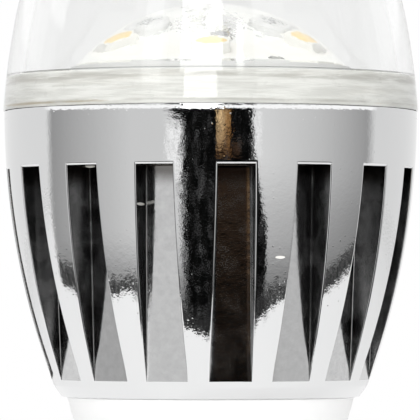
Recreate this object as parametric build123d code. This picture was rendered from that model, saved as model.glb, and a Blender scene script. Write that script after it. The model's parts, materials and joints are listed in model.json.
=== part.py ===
from build123d import *
import math
import os

# A candle lamp with light-emitting diodes: a small screw cap, a white moulded housing, a plated heat
# sink with tapered slots, and a clear globe over a ring of diodes with a clear dome cast over them.
# Millimetres. The lamp's axis is Z, the tip of the centre contact is at z = 0, the front faces -Y.

# Screw cap
CONTACT_R = 2.4
CONTACT_HEAD_H = 0.95
CONTACT_PIN_R = 0.95
CONTACT_PIN_TOP_Z = 8.0
INSULATOR_TOP_Z = 5.0
INSULATOR_TUBE_R = 2.2
INSULATOR_TUBE_TOP_Z = 7.0
SHELL_BOTTOM_Z = 3.6
SHELL_TOP_Z = 19.7
SHELL_WALL = 0.3
SHELL_LIP_R = 4.9
SHELL_BAND_R = 6.9
SHELL_BAND_Z = 16.5
THREAD_CREST_R = 6.945
THREAD_ROOT_R = 6.16
THREAD_PITCH = 2.822
THREAD_ROUND = 0.822
THREAD_FIRST_Z = 5.9
THREAD_TURNS = 3.2

# White housing: neck in the cap, tapered collar, sleeve in the heat sink
NECK_BOTTOM_Z = 5.0
NECK_R = 5.7
NECK_INNER_R = 4.5
NECK_SEAT_R = 6.5
COLLAR_BOTTOM_Z = 19.9
COLLAR_BOTTOM_R = 8.45
COLLAR_TOP_R = 12.86
COLLAR_ROUND = 0.8
COLLAR_FLOOR_Z = 21.4
COLLAR_FLOOR_R = 7.2
SLEEVE_R = 12.1
SLEEVE_INNER_R = 10.9
SLEEVE_TAPER_Z = 33.5
SLEEVE_TOP_Z = 60.2
RAIL_R = 9.3
RAIL_GAP = 1.36
RAIL_THICK = 0.9
RAIL_STOP_Z = 36.0
RAIL_TOP_Z = 57.5

# Heat sink
BODY_R = 18.5
SINK_Z = 35.5
SINK_H = 25.5
SINK_ARC_R = 69.6
SINK_BORE_R = 12.2
FOOT_R = 13.32
FOOT_CHAMFER_H = 1.0
FOOT_ROUND = 0.25
RIM_ROUND = 0.2
SPIGOT_R = 16.85
SPIGOT_H = 2.6
SPIGOT_ROUND = 0.25
DECK_THICK = 2.2
SLOT_COUNT = 16
SLOT_PHASE = 7.0
SLOT_TOP_H = 20.3
SLOT_FOOT_H = 1.55
SLOT_TOP_W = 3.25
SLOT_FOOT_W = 3.71
SLOT_TOP_FLOOR_R = 15.13
SLOT_FOOT_FLOOR_R = 14.1
RIM_Z = SINK_Z + SINK_H
DECK_Z = RIM_Z + SPIGOT_H

# Clear globe
GLOBE_R = 18.6
GLOBE_ARC_R = 64.0
GLOBE_ARC_DROP = 3.9
GLOBE_TIP_R = 5.0
GLOBE_WALL = 1.5
GLOBE_RIM_ROUND = 0.15
SKIRT_INNER_R = 17.15
SKIRT_H = 3.15
SEAL_H = 3.0

# Diode board on the deck
PAD_THICK = 0.25
PAD_R = 11.5
LED_BOARD_R = 12.6
LED_BOARD_THICK = 1.0
LED_BOARD_Z = DECK_Z + PAD_THICK
LED_BOARD_TOP_Z = LED_BOARD_Z + LED_BOARD_THICK
WIRE_HOLE_R = 2.2
LED_COUNT = 5
LED_RING_R = 7.7
LED_FRONT_ANGLE = -90.0
LED_W = 3.0
LED_H = 1.1
LED_CUP_R = 1.3
LED_CUP_DEPTH = 0.6
LED_FILL_RISE = 0.3
LED_KEY_CUT = 0.5
SCREW_X = 4.4
SCREW_R = 0.95
SCREW_HOLE_R = 1.0
SCREW_CLEAR_R = 1.15
SCREW_HEAD_R = 1.8
SCREW_HEAD_H = 1.1
SCREW_DEPTH = 1.9
SCREW_RECESS_L = 2.0
SCREW_RECESS_W = 0.45
SCREW_RECESS_DEPTH = 0.6

# Dome lens, cast over the diodes on their board
LENS_R = 12.15
LENS_EDGE_H = 0.3
LENS_DOME_R = 12.0
LENS_H = 5.8
PEG_COUNT = 3
PEG_ANGLE = 60.0
PEG_RING_R = 11.0
PEG_R = 0.7
PEG_HOLE_R = 0.75
PEG_L = 0.9

# Wires
WIRE_R = 0.45
WIRE_OFF_BOARD = 1.1
LED_WIRE_X = 0.8
LED_WIRE_START_Z = 55.5
LED_WIRE_END_Y = 3.9
LED_WIRE_BEND_R = 1.0
MAINS_WIRE_START_Z = 28.5
MAINS_WIRE_BEND_R = 4.0
NEUTRAL_X = 3.2
NEUTRAL_EXIT_Z = 6.0
NEUTRAL_EXIT_R = 5.84
NEUTRAL_BEND_R = 1.2
NOTCH_W = 1.4
NOTCH_TOP_Z = 6.9
SOLDER_R = 0.9
SOLDER_H = 0.95

# Driver board, upright in the sleeve
BOARD_THICK = 1.2
BOARD_HALF_W = 10.6
BOARD_TOP_Z = 58.9
TAIL_HALF_W = 6.0
TAIL_BOTTOM_Z = 24.5
BOARD_FACE = BOARD_THICK / 2
LID_R = 12.0
LID_PLUG_R = 10.8
LID_PLUG_Z = 59.2
LID_TOP_Z = 61.2

# Parts on the driver board
CORE_Z = 45.0
CORE_X = 8.6
CORE_H = 10.2
CORE_THICK = 4.6
CORE_LEG = 1.2
CORE_Y = -5.4
BOBBIN_WALL = 0.5
BOBBIN_CLEAR = 0.05
BOBBIN_FLANGE_X = 3.05
BOBBIN_FLANGE_Y = 4.75
BOBBIN_FLANGE_Z = 3.8
WINDING_Y = 4.4
WINDING_Z = 3.5
WINDING_ROUND = 1.0
CAN_R = 4.0
CAN_H = 11.0
CAN_X = 3.8
CAN_Z = 44.0
CAN_GROOVE = 0.35
CAN_GROOVE_H = 1.8
CAN_ROUND = 0.5
FILM_LOW = (-9.2, BOARD_FACE, 44.0)
FILM_HIGH = (-3.2, 4.6, 52.0)
FILM_ROUND = 0.4
BRIDGE_LOW = (-2.4, BOARD_FACE, 30.2)
BRIDGE_HIGH = (2.4, 3.0, 34.0)
CHIP_LOW = (-7.6, -2.1, 51.6)
CHIP_HIGH = (-3.6, -0.7, 56.4)
LEG_COUNT = 4
LEG_W = 0.45
LEG_REACH = 1.0
LEG_THICK = 0.25
DIODE_R = 1.35
DIODE_H = 5.0
DIODE_X = 7.4
DIODE_Z = 42.0
RESISTOR_R = 1.3
RESISTOR_END_R = 1.45
RESISTOR_END_H = 1.5
RESISTOR_H = 7.0
RESISTOR_X = 3.6
RESISTOR_Z = 26.0
LEAD_R = 0.3

BOTTOM_MIDDLE = (Align.CENTER, Align.CENTER, Align.MIN)


def flat(*edges):
    """A face bounded by edges that are drawn as radius and height."""
    return make_face([Plane.XZ * edge for edge in edges])


def turned(*points):
    """A solid of revolution about the lamp axis, from corners given as radius and height."""
    return revolve(flat(Polyline(*points, close=True)), Axis.Z)


def rounded(profile, radius, *corners):
    """A profile with some of its corners rounded."""
    for across, up in corners:
        corner = profile.vertices().sort_by_distance(Vector(across, 0, up))[0]
        profile = fillet(corner, radius)
    return profile


def post(radius, low, high, x=0.0, y=0.0):
    """An upright cylinder between two heights."""
    return Pos(x, y, low) * Cylinder(radius, high - low, align=BOTTOM_MIDDLE)


def block(low, high):
    """A box between two opposite corners."""
    size = [end - start for start, end in zip(low, high)]
    return Pos(*low) * Box(*size, align=(Align.MIN, Align.MIN, Align.MIN))


def wire(radius, *points, bend):
    """A round wire along straight runs joined by tangent arcs."""
    path = FilletPolyline(*points, radius=bend)
    return sweep(Plane(origin=path @ 0, z_dir=path % 0) * Circle(radius), path)


def circle_point(centre, radius, angle):
    """A point on a circle in the radius and height plane, angle in radians from outwards."""
    return (centre[0] + radius * math.cos(angle), centre[1] + radius * math.sin(angle))


def dome_arc(base_r, base_z, top_z):
    """The arc of a dome from its edge to the axis."""
    rise = top_z - base_z
    ball_r = (base_r**2 + rise**2) / (2 * rise)
    centre = (0.0, top_z - ball_r)
    start = math.acos(base_r / ball_r)
    middle = circle_point(centre, ball_r, (start + math.pi / 2) / 2)
    return ThreePointArc((base_r, base_z), middle, (0.0, top_z))


def make_centre_contact():
    head = turned((0, 0), (CONTACT_R, 0), (CONTACT_R, CONTACT_HEAD_H), (0, CONTACT_HEAD_H))
    head = fillet(head.edges().filter_by(GeomType.CIRCLE).sort_by(Axis.Z)[0], CONTACT_HEAD_H * 0.6)
    return head + post(CONTACT_PIN_R, CONTACT_HEAD_H / 2, CONTACT_PIN_TOP_Z)


def make_cap_insulator():
    lip_top = SHELL_BOTTOM_Z + SHELL_WALL
    skirt = [
        (CONTACT_PIN_R, CONTACT_HEAD_H),
        (CONTACT_R + 0.3, CONTACT_HEAD_H),
        (SHELL_LIP_R + 0.3, SHELL_BOTTOM_Z - 0.4),
        (SHELL_LIP_R + 0.3, SHELL_BOTTOM_Z),
        (SHELL_LIP_R, SHELL_BOTTOM_Z),
    ]
    inside = [
        (SHELL_LIP_R, lip_top + 0.2),
        (NECK_R - 0.1, lip_top + 0.5),
        (NECK_R - 0.1, INSULATOR_TOP_Z),
        (INSULATOR_TUBE_R, INSULATOR_TOP_Z),
        (INSULATOR_TUBE_R, INSULATOR_TUBE_TOP_Z),
        (CONTACT_PIN_R, INSULATOR_TUBE_TOP_Z),
    ]
    return turned(*skirt, *inside)


def thread_ridge():
    """The rounded crest of the screw thread, wound on the root of the shell."""
    crest = THREAD_CREST_R - THREAD_ROOT_R
    join_r = crest - THREAD_ROUND / 2 + 0.01
    join_z = math.sqrt(THREAD_ROUND**2 - (join_r - crest + THREAD_ROUND) ** 2)
    sunk = SHELL_WALL / 2
    flare = (join_r + sunk) * (THREAD_ROUND - crest + join_r) / join_z
    section = make_face(
        [
            Polyline((join_r, join_z), (-sunk, join_z + flare), (-sunk, -join_z - flare), (join_r, -join_z)),
            ThreePointArc((join_r, -join_z), (crest, 0), (join_r, join_z)),
        ]
    )
    path = Helix(THREAD_PITCH, THREAD_PITCH * THREAD_TURNS, THREAD_ROOT_R, center=(0, 0, THREAD_FIRST_Z))
    start = Plane(origin=path @ 0, x_dir=(1, 0, 0), z_dir=path % 0)
    return sweep(start * section, path, is_frenet=True)


def make_screw_shell():
    band_start = SHELL_BAND_Z - (SHELL_BAND_R - THREAD_ROOT_R)
    corner_z = SHELL_BOTTOM_Z + 0.7
    outside = [
        (SHELL_LIP_R, SHELL_BOTTOM_Z),
        (THREAD_ROOT_R - 0.7, SHELL_BOTTOM_Z),
        (THREAD_ROOT_R, corner_z),
        (THREAD_ROOT_R, band_start),
        (SHELL_BAND_R, SHELL_BAND_Z),
        (SHELL_BAND_R, SHELL_TOP_Z),
    ]
    inside = [
        (SHELL_BAND_R - SHELL_WALL, SHELL_TOP_Z),
        (SHELL_BAND_R - SHELL_WALL, SHELL_BAND_Z + 0.1),
        (THREAD_ROOT_R - SHELL_WALL, band_start + 0.1),
        (THREAD_ROOT_R - SHELL_WALL, corner_z + 0.1),
        (THREAD_ROOT_R - SHELL_WALL - 0.5, SHELL_BOTTOM_Z + SHELL_WALL),
        (SHELL_LIP_R, SHELL_BOTTOM_Z + SHELL_WALL),
    ]
    return turned(*outside, *inside) + thread_ridge()


def make_base_housing():
    outside = [
        (NECK_R, NECK_BOTTOM_Z),
        (NECK_R, SHELL_BAND_Z - 0.6),
        (NECK_SEAT_R, SHELL_BAND_Z + 0.4),
        (NECK_SEAT_R, COLLAR_BOTTOM_Z),
        (COLLAR_BOTTOM_R, COLLAR_BOTTOM_Z),
        (COLLAR_TOP_R, SINK_Z),
        (SLEEVE_R, SINK_Z),
        (SLEEVE_R, SLEEVE_TOP_Z),
    ]
    inside = [
        (SLEEVE_INNER_R, SLEEVE_TOP_Z),
        (SLEEVE_INNER_R, SLEEVE_TAPER_Z),
        (COLLAR_FLOOR_R, COLLAR_FLOOR_Z),
        (NECK_INNER_R, COLLAR_FLOOR_Z),
        (NECK_INNER_R, NECK_BOTTOM_Z),
    ]
    profile = flat(Polyline(*outside, *inside, close=True))
    profile = rounded(profile, COLLAR_ROUND, (COLLAR_BOTTOM_R, COLLAR_BOTTOM_Z))
    housing = revolve(profile, Axis.Z)
    half_gap = RAIL_GAP / 2
    rail_out = SLEEVE_INNER_R + 0.3
    for side in (-1, 1):
        near, far = sorted((side * RAIL_R, side * rail_out))
        housing += block((near, -half_gap, RAIL_STOP_Z - 1), (far, half_gap, RAIL_STOP_Z))
        for face in (-1, 1):
            front, back = sorted((face * half_gap, face * (half_gap + RAIL_THICK)))
            housing += block((near, front, RAIL_STOP_Z - 1), (far, back, RAIL_TOP_Z))
    notch = block((0, -NOTCH_W / 2, NECK_BOTTOM_Z), (NECK_R + 1, NOTCH_W / 2, NOTCH_TOP_Z))
    return housing - notch


def sink_radius(height):
    """Radius of the heat sink's barrel-shaped side at a height above its foot."""
    return BODY_R - SINK_ARC_R + math.sqrt(SINK_ARC_R**2 - (SINK_H - height) ** 2)


def slot_cutter():
    """One slot: a flat floor that leans outwards, a level ceiling and foot, sides that open downwards."""
    top, foot, outside = SINK_Z + SLOT_TOP_H, SINK_Z + SLOT_FOOT_H, BODY_R + 1
    front = Polyline(
        (SLOT_TOP_W / 2, top),
        (-SLOT_TOP_W / 2, top),
        (-SLOT_FOOT_W / 2, foot),
        (SLOT_FOOT_W / 2, foot),
        close=True,
    )
    side = Polyline(
        (SLOT_TOP_FLOOR_R, top),
        (outside, top),
        (outside, foot),
        (SLOT_FOOT_FLOOR_R, foot),
        close=True,
    )
    through = extrude(Plane.YZ * make_face(front), outside)
    return through & extrude(Plane.XZ * make_face(side), SLOT_FOOT_W, both=True)


def make_heat_sink():
    foot_side = (sink_radius(FOOT_CHAMFER_H), SINK_Z + FOOT_CHAMFER_H)
    middle_h = SINK_H / 2
    side = ThreePointArc(foot_side, (sink_radius(middle_h), SINK_Z + middle_h), (BODY_R, RIM_Z))
    top = Polyline(
        (BODY_R, RIM_Z),
        (SPIGOT_R, RIM_Z),
        (SPIGOT_R, DECK_Z),
        (0, DECK_Z),
        (0, DECK_Z - DECK_THICK),
        (SINK_BORE_R, DECK_Z - DECK_THICK),
        (SINK_BORE_R, SINK_Z),
        (FOOT_R, SINK_Z),
        foot_side,
    )
    profile = rounded(flat(side, top), RIM_ROUND, (BODY_R, RIM_Z))
    profile = rounded(profile, SPIGOT_ROUND, (SPIGOT_R, DECK_Z))
    profile = rounded(profile, FOOT_ROUND, (FOOT_R, SINK_Z), foot_side)
    sink = revolve(profile, Axis.Z)
    cutter = slot_cutter()
    first = SLOT_PHASE - 90
    sink -= [Rot(0, 0, first + 360 / SLOT_COUNT * number) * cutter for number in range(SLOT_COUNT)]
    sink -= post(WIRE_HOLE_R, DECK_Z - DECK_THICK, DECK_Z)
    for x in (-SCREW_X, SCREW_X):
        sink -= post(SCREW_HOLE_R, DECK_Z - DECK_THICK, DECK_Z, x)
    return sink


def globe_wall(inset, start_z):
    """The globe's side and tip as two tangent arcs, moved inwards, from a height up to the axis."""
    arc_z = RIM_Z - GLOBE_ARC_DROP
    arc_x = GLOBE_R - math.sqrt(GLOBE_ARC_R**2 - GLOBE_ARC_DROP**2)
    reach = GLOBE_ARC_R - GLOBE_TIP_R
    lean = math.acos(-arc_x / reach)
    centre, tip = (arc_x, arc_z), (0.0, arc_z + reach * math.sin(lean))
    arc_r, tip_r = GLOBE_ARC_R - inset, GLOBE_TIP_R - inset
    low = math.asin((start_z - arc_z) / arc_r)
    join = circle_point(centre, arc_r, lean)
    side = ThreePointArc(
        circle_point(centre, arc_r, low), circle_point(centre, arc_r, (low + lean) / 2), join
    )
    cap = ThreePointArc(
        join, circle_point(tip, tip_r, (lean + math.pi / 2) / 2), (0.0, tip[1] + tip_r)
    )
    return side, cap


def make_globe():
    outer_side, outer_tip = globe_wall(0.0, RIM_Z)
    step_z = RIM_Z + SKIRT_H
    inner_side, inner_tip = globe_wall(GLOBE_WALL, step_z)
    crown = Line(outer_tip @ 1, inner_tip @ 1)
    skirt = Polyline(inner_side @ 0, (SKIRT_INNER_R, step_z), (SKIRT_INNER_R, RIM_Z), outer_side @ 0)
    profile = flat(outer_side, outer_tip, crown, inner_tip, inner_side, skirt)
    profile = rounded(profile, GLOBE_RIM_ROUND, (GLOBE_R, RIM_Z))
    return revolve(profile, Axis.Z)


def make_globe_seal():
    top = RIM_Z + SEAL_H
    return turned((SPIGOT_R, RIM_Z), (SKIRT_INNER_R, RIM_Z), (SKIRT_INNER_R, top), (SPIGOT_R, top))


def make_thermal_pad():
    pad = post(PAD_R, DECK_Z, LED_BOARD_Z) - post(WIRE_HOLE_R, DECK_Z, LED_BOARD_Z)
    for x in (-SCREW_X, SCREW_X):
        pad -= post(SCREW_CLEAR_R, DECK_Z, LED_BOARD_Z, x)
    return pad


def peg_places():
    return PolarLocations(PEG_RING_R, PEG_COUNT, start_angle=PEG_ANGLE)


def make_led_board():
    board = post(LED_BOARD_R, LED_BOARD_Z, LED_BOARD_TOP_Z)
    board -= post(WIRE_HOLE_R, LED_BOARD_Z, LED_BOARD_TOP_Z)
    for x in (-SCREW_X, SCREW_X):
        board -= post(SCREW_CLEAR_R, LED_BOARD_Z, LED_BOARD_TOP_Z, x)
    board -= [place * post(PEG_HOLE_R, LED_BOARD_Z, LED_BOARD_TOP_Z) for place in peg_places()]
    return board


def led_places():
    return list(PolarLocations(LED_RING_R, LED_COUNT, start_angle=LED_FRONT_ANGLE))


def make_leds():
    """The diode packages and the domed fillings of their cups, in matching order."""
    top, cup_z = LED_BOARD_TOP_Z + LED_H, LED_BOARD_TOP_Z + LED_H - LED_CUP_DEPTH
    package = Pos(0, 0, LED_BOARD_TOP_Z) * Box(LED_W, LED_W, LED_H, align=BOTTOM_MIDDLE)
    key_edge = package.edges().filter_by(Axis.Z).sort_by_distance((LED_W, LED_W, top))[0]
    package = chamfer(key_edge, LED_KEY_CUT) - post(LED_CUP_R, cup_z, top)
    crown = top + LED_FILL_RISE
    cup = Polyline((0, crown), (0, cup_z), (LED_CUP_R, cup_z), (LED_CUP_R, top))
    filling = revolve(flat(dome_arc(LED_CUP_R, top, crown), cup), Axis.Z)
    return [place * package for place in led_places()], [place * filling for place in led_places()]


def screw_head():
    """The plain pan head of a board screw."""
    head = post(SCREW_HEAD_R, LED_BOARD_TOP_Z, LED_BOARD_TOP_Z + SCREW_HEAD_H)
    return fillet(head.edges().filter_by(GeomType.CIRCLE).sort_by(Axis.Z)[-1], SCREW_HEAD_H * 0.5)


def make_board_screws():
    """Two pan-head screws with crossed recesses."""
    top = LED_BOARD_TOP_Z + SCREW_HEAD_H
    screw = screw_head() + post(SCREW_R, DECK_Z - SCREW_DEPTH, LED_BOARD_TOP_Z)
    for length, width in ((SCREW_RECESS_L, SCREW_RECESS_W), (SCREW_RECESS_W, SCREW_RECESS_L)):
        low = (-length / 2, -width / 2, top - SCREW_RECESS_DEPTH)
        screw -= block(low, (length / 2, width / 2, top))
    return Compound(children=[Pos(x, 0, 0) * screw for x in (-SCREW_X, SCREW_X)])


def led_wire(side):
    """A wire from one face of the driver board up through the deck and out over the diode board."""
    x, y = -side * LED_WIRE_X, side * WIRE_OFF_BOARD
    over = LED_BOARD_TOP_Z + WIRE_R + 0.1
    return wire(
        WIRE_R,
        (x, y, LED_WIRE_START_Z),
        (x, y, over),
        (x, side * LED_WIRE_END_Y, over),
        bend=LED_WIRE_BEND_R,
    )


def solder_bead(side):
    """A bead of solder over the end of one of the diode wires."""
    top = LED_BOARD_TOP_Z + SOLDER_H
    foot = Polyline((0, top), (0, LED_BOARD_TOP_Z), (SOLDER_R, LED_BOARD_TOP_Z))
    bead = revolve(flat(dome_arc(SOLDER_R, LED_BOARD_TOP_Z, top), foot), Axis.Z)
    return Pos(-side * LED_WIRE_X, side * LED_WIRE_END_Y, 0) * bead


def make_solder_joints():
    return Compound(children=[solder_bead(side) - led_wire(side) for side in (-1, 1)])


def make_lens(packages, fillings):
    """A clear dome cast over everything on the diode board, with three pegs in the board."""
    base, edge, top = LED_BOARD_TOP_Z, LED_BOARD_TOP_Z + LENS_EDGE_H, LED_BOARD_TOP_Z + LENS_H
    rim = Polyline((0, top), (0, base), (LENS_R, base), (LENS_R, edge), (LENS_DOME_R, edge))
    lens = revolve(flat(dome_arc(LENS_DOME_R, edge, top), rim), Axis.Z)
    lens -= packages + fillings
    lens -= [Pos(x, 0, 0) * screw_head() for x in (-SCREW_X, SCREW_X)]
    for side in (-1, 1):
        lens -= [led_wire(side), solder_bead(side)]
    return lens + [place * post(PEG_R, base - PEG_L, base + LENS_EDGE_H / 2) for place in peg_places()]


def make_driver_lid():
    return turned(
        (WIRE_HOLE_R, LID_PLUG_Z),
        (LID_PLUG_R, LID_PLUG_Z),
        (LID_PLUG_R, SLEEVE_TOP_Z),
        (LID_R, SLEEVE_TOP_Z),
        (LID_R, LID_TOP_Z),
        (WIRE_HOLE_R, LID_TOP_Z),
    )


def make_driver_board():
    board = block((-BOARD_HALF_W, -BOARD_FACE, RAIL_STOP_Z), (BOARD_HALF_W, BOARD_FACE, BOARD_TOP_Z))
    tail = block((-TAIL_HALF_W, -BOARD_FACE, TAIL_BOTTOM_Z), (TAIL_HALF_W, BOARD_FACE, RAIL_STOP_Z))
    return board + tail


def make_transformer_core():
    """Two E-shaped halves that meet at the middle of the lamp."""
    half_x, half_z = CORE_X / 2, CORE_H / 2
    outline = Rectangle(half_x, CORE_H)
    window_x = half_x - CORE_LEG
    window_z = half_z - 2 * CORE_LEG
    for side in (-1, 1):
        middle = side * (CORE_LEG + window_z / 2)
        outline -= Pos(half_x / 2 - window_x / 2, middle) * Rectangle(window_x, window_z)
    half = extrude(Plane.XZ * outline, CORE_THICK / 2, both=True)
    left = Pos(-half_x / 2, CORE_Y, CORE_Z) * half
    return Compound(children=[left, mirror(left, Plane.YZ)])


def make_transformer_bobbin():
    inner_y = CORE_THICK / 2 + BOBBIN_CLEAR
    inner_z = CORE_LEG + BOBBIN_CLEAR
    flange = Box(BOBBIN_FLANGE_X * 2, BOBBIN_FLANGE_Y * 2, BOBBIN_FLANGE_Z * 2)
    groove_x = (BOBBIN_FLANGE_X - BOBBIN_WALL) * 2
    tube = Box(groove_x, (inner_y + BOBBIN_WALL) * 2, (inner_z + BOBBIN_WALL) * 2)
    groove = Box(groove_x, BOBBIN_FLANGE_Y * 2, BOBBIN_FLANGE_Z * 2) - tube
    bore = Box(BOBBIN_FLANGE_X * 2, inner_y * 2, inner_z * 2)
    return Pos(0, CORE_Y, CORE_Z) * (flange - groove - bore)


def make_transformer_winding():
    length = (BOBBIN_FLANGE_X - BOBBIN_WALL) * 2
    inner_y = CORE_THICK / 2 + BOBBIN_CLEAR + BOBBIN_WALL
    inner_z = CORE_LEG + BOBBIN_CLEAR + BOBBIN_WALL
    section = RectangleRounded(WINDING_Y * 2, WINDING_Z * 2, WINDING_ROUND)
    section -= Rectangle(inner_y * 2, inner_z * 2)
    return Pos(0, CORE_Y, CORE_Z) * extrude(Plane.YZ * section, length / 2, both=True)


def make_electrolytic_capacitor():
    """A round can with a crimp groove near its foot, lying along the board."""
    groove_z = CAN_GROOVE_H
    profile = flat(
        Polyline(
            (0, 0),
            (CAN_R, 0),
            (CAN_R, groove_z - CAN_GROOVE),
            (CAN_R - CAN_GROOVE, groove_z),
            (CAN_R, groove_z + CAN_GROOVE),
            (CAN_R, CAN_H),
            (0, CAN_H),
            close=True,
        )
    )
    profile = rounded(profile, CAN_ROUND, (CAN_R, 0), (CAN_R, CAN_H))
    return Pos(CAN_X, BOARD_FACE + CAN_R, CAN_Z) * revolve(profile, Axis.Z)


def make_film_capacitor():
    body = block(FILM_LOW, FILM_HIGH)
    return fillet(body.edges().group_by(Axis.Y)[-1], FILM_ROUND)


def legged_package(low, high):
    """A moulded package with a row of bent legs above and below, seated on the board."""
    package = block(low, high)
    facing = -1 if low[1] < 0 else 1
    seat, shoulder = sorted((facing * BOARD_FACE, (low[1] + high[1]) / 2))
    pitch = (high[0] - low[0]) / LEG_COUNT
    for number in range(LEG_COUNT):
        x = low[0] + pitch * (number + 0.5) - LEG_W / 2
        for edge, way in ((low[2], -1), (high[2], 1)):
            inner, outer = sorted((edge, edge + way * LEG_REACH))
            package += block((x, seat, inner), (x + LEG_W, shoulder, outer))
            toe, heel = sorted((edge, edge + way * (LEG_REACH - LEG_THICK)))
            under, over = (seat, shoulder - LEG_THICK) if facing > 0 else (seat + LEG_THICK, shoulder)
            package -= block((x, under, toe), (x + LEG_W, over, heel))
    return package


def make_output_diode():
    y = -BOARD_FACE - DIODE_R
    body = post(DIODE_R, DIODE_Z, DIODE_Z + DIODE_H, DIODE_X, y)
    return body + post(LEAD_R, DIODE_Z - 1.5, DIODE_Z + DIODE_H + 1.5, DIODE_X, y)


def make_fusible_resistor():
    y = -BOARD_FACE - RESISTOR_END_R
    top = RESISTOR_Z + RESISTOR_H
    body = post(RESISTOR_R, RESISTOR_Z, top, RESISTOR_X, y)
    for low in (RESISTOR_Z, top - RESISTOR_END_H):
        body += post(RESISTOR_END_R, low, low + RESISTOR_END_H, RESISTOR_X, y)
    return body


def make_live_wire():
    y = -WIRE_OFF_BOARD
    return wire(
        WIRE_R,
        (0, y, MAINS_WIRE_START_Z),
        (0, y, 19.0),
        (0, 0, 13.0),
        (0, 0, CONTACT_PIN_TOP_Z),
        bend=MAINS_WIRE_BEND_R,
    )


def make_neutral_wire():
    y = WIRE_OFF_BOARD
    return wire(
        WIRE_R,
        (NEUTRAL_X, y, MAINS_WIRE_START_Z),
        (NEUTRAL_X, y, 19.0),
        (NEUTRAL_X, 0, 13.0),
        (NEUTRAL_X, 0, NEUTRAL_EXIT_Z),
        (NEUTRAL_EXIT_R, 0, NEUTRAL_EXIT_Z),
        bend=[MAINS_WIRE_BEND_R, MAINS_WIRE_BEND_R, NEUTRAL_BEND_R],
    )


def make_pieces():
    """Every piece of the lamp under its own name."""
    packages, fillings = make_leds()
    pieces = {
        "globe": make_globe(),
        "globe_seal": make_globe_seal(),
        "heat_sink": make_heat_sink(),
        "thermal_pad": make_thermal_pad(),
        "led_board": make_led_board(),
        "lens": make_lens(packages, fillings),
        "board_screws": make_board_screws(),
        "solder_joints": make_solder_joints(),
        "led_wire_positive": led_wire(-1),
        "led_wire_negative": led_wire(1),
        "driver_lid": make_driver_lid(),
        "base_housing": make_base_housing(),
        "driver_board": make_driver_board(),
        "transformer_core": make_transformer_core(),
        "transformer_bobbin": make_transformer_bobbin(),
        "transformer_winding": make_transformer_winding(),
        "electrolytic_capacitor": make_electrolytic_capacitor(),
        "film_capacitor": make_film_capacitor(),
        "bridge_rectifier": legged_package(BRIDGE_LOW, BRIDGE_HIGH),
        "driver_chip": legged_package(CHIP_LOW, CHIP_HIGH),
        "output_diode": make_output_diode(),
        "fusible_resistor": make_fusible_resistor(),
        "live_wire": make_live_wire(),
        "neutral_wire": make_neutral_wire(),
        "screw_shell": make_screw_shell(),
        "cap_insulator": make_cap_insulator(),
        "centre_contact": make_centre_contact(),
    }
    for number, (package, filling) in enumerate(zip(packages, fillings), 1):
        pieces[f"led_{number}"] = package
        pieces[f"led_phosphor_{number}"] = filling
    return pieces


os.makedirs("parts", exist_ok=True)
for name, piece in make_pieces().items():
    export_step(piece, f"parts/{name}.step")
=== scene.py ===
import json
import math
from cmath import phase
from collections import namedtuple

import bmesh
import bpy
from mathutils import Matrix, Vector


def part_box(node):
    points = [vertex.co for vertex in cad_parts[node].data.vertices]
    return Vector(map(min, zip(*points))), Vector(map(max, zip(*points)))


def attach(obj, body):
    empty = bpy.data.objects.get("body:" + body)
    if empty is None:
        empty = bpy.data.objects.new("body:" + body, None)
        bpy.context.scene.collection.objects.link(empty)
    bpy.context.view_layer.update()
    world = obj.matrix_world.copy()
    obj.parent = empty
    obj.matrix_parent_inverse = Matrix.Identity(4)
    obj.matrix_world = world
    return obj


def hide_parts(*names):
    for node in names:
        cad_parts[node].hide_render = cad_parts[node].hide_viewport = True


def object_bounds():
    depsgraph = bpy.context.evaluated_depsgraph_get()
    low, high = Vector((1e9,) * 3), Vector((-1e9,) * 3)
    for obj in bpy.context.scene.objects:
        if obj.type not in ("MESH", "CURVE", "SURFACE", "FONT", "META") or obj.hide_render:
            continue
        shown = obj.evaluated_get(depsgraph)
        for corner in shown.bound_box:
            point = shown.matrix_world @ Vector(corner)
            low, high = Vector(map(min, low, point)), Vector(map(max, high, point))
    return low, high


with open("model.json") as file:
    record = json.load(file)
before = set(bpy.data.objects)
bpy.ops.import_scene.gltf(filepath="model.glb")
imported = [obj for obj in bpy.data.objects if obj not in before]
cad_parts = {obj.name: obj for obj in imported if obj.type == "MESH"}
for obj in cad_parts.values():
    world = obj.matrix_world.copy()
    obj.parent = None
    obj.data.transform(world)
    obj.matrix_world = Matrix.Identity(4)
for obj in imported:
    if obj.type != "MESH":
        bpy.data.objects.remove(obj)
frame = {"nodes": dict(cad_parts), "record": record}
cad_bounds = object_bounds()

# A candle lamp: clear globe, ring of diodes in a clear cast dome, chrome-plated slotted heat sink, white
# collar and small screw cap. Metres, the lamp's axis on Z, the front towards -Y.
MM = 0.001
ROOT = "root"
MIDDLE = (cad_bounds[0] + cad_bounds[1]) / 2
CLEARANCE = 0.02 * MM
MERGE = 0.0005 * MM

# Heat sink
SINK_LOW, SINK_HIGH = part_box("heat_sink")
GLOBE_LOW, GLOBE_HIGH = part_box("globe")
SINK_Z = SINK_LOW.z
RIM_Z = GLOBE_LOW.z
DECK_Z = SINK_HIGH.z
BODY_R = 18.5 * MM
BARREL_ARC = 69.6 * MM
SLOT_COUNT = 16
SECTOR = 2 * math.pi / SLOT_COUNT
SLOT_PHASE = math.radians(7 - 90)
SLOT_TOP_Z = SINK_Z + 20.3 * MM
SLOT_FOOT_Z = SINK_Z + 1.55 * MM
SLOT_TOP_W = 3.25 * MM
SLOT_FOOT_W = 3.71 * MM
SLOT_TOP_FLOOR = 15.13 * MM
SLOT_FOOT_FLOOR = 14.1 * MM
EDGE_ROUND = 0.15 * MM
EDGE_ROUND_SHARE = 0.35
CEILING_ROUND = 0.28 * MM
CORNER_ROUND = 0.1 * MM
CORNER_ROUND_SHARE = 0.2
BORE_R = 12.2 * MM
FOOT_R = 13.32 * MM
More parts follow.
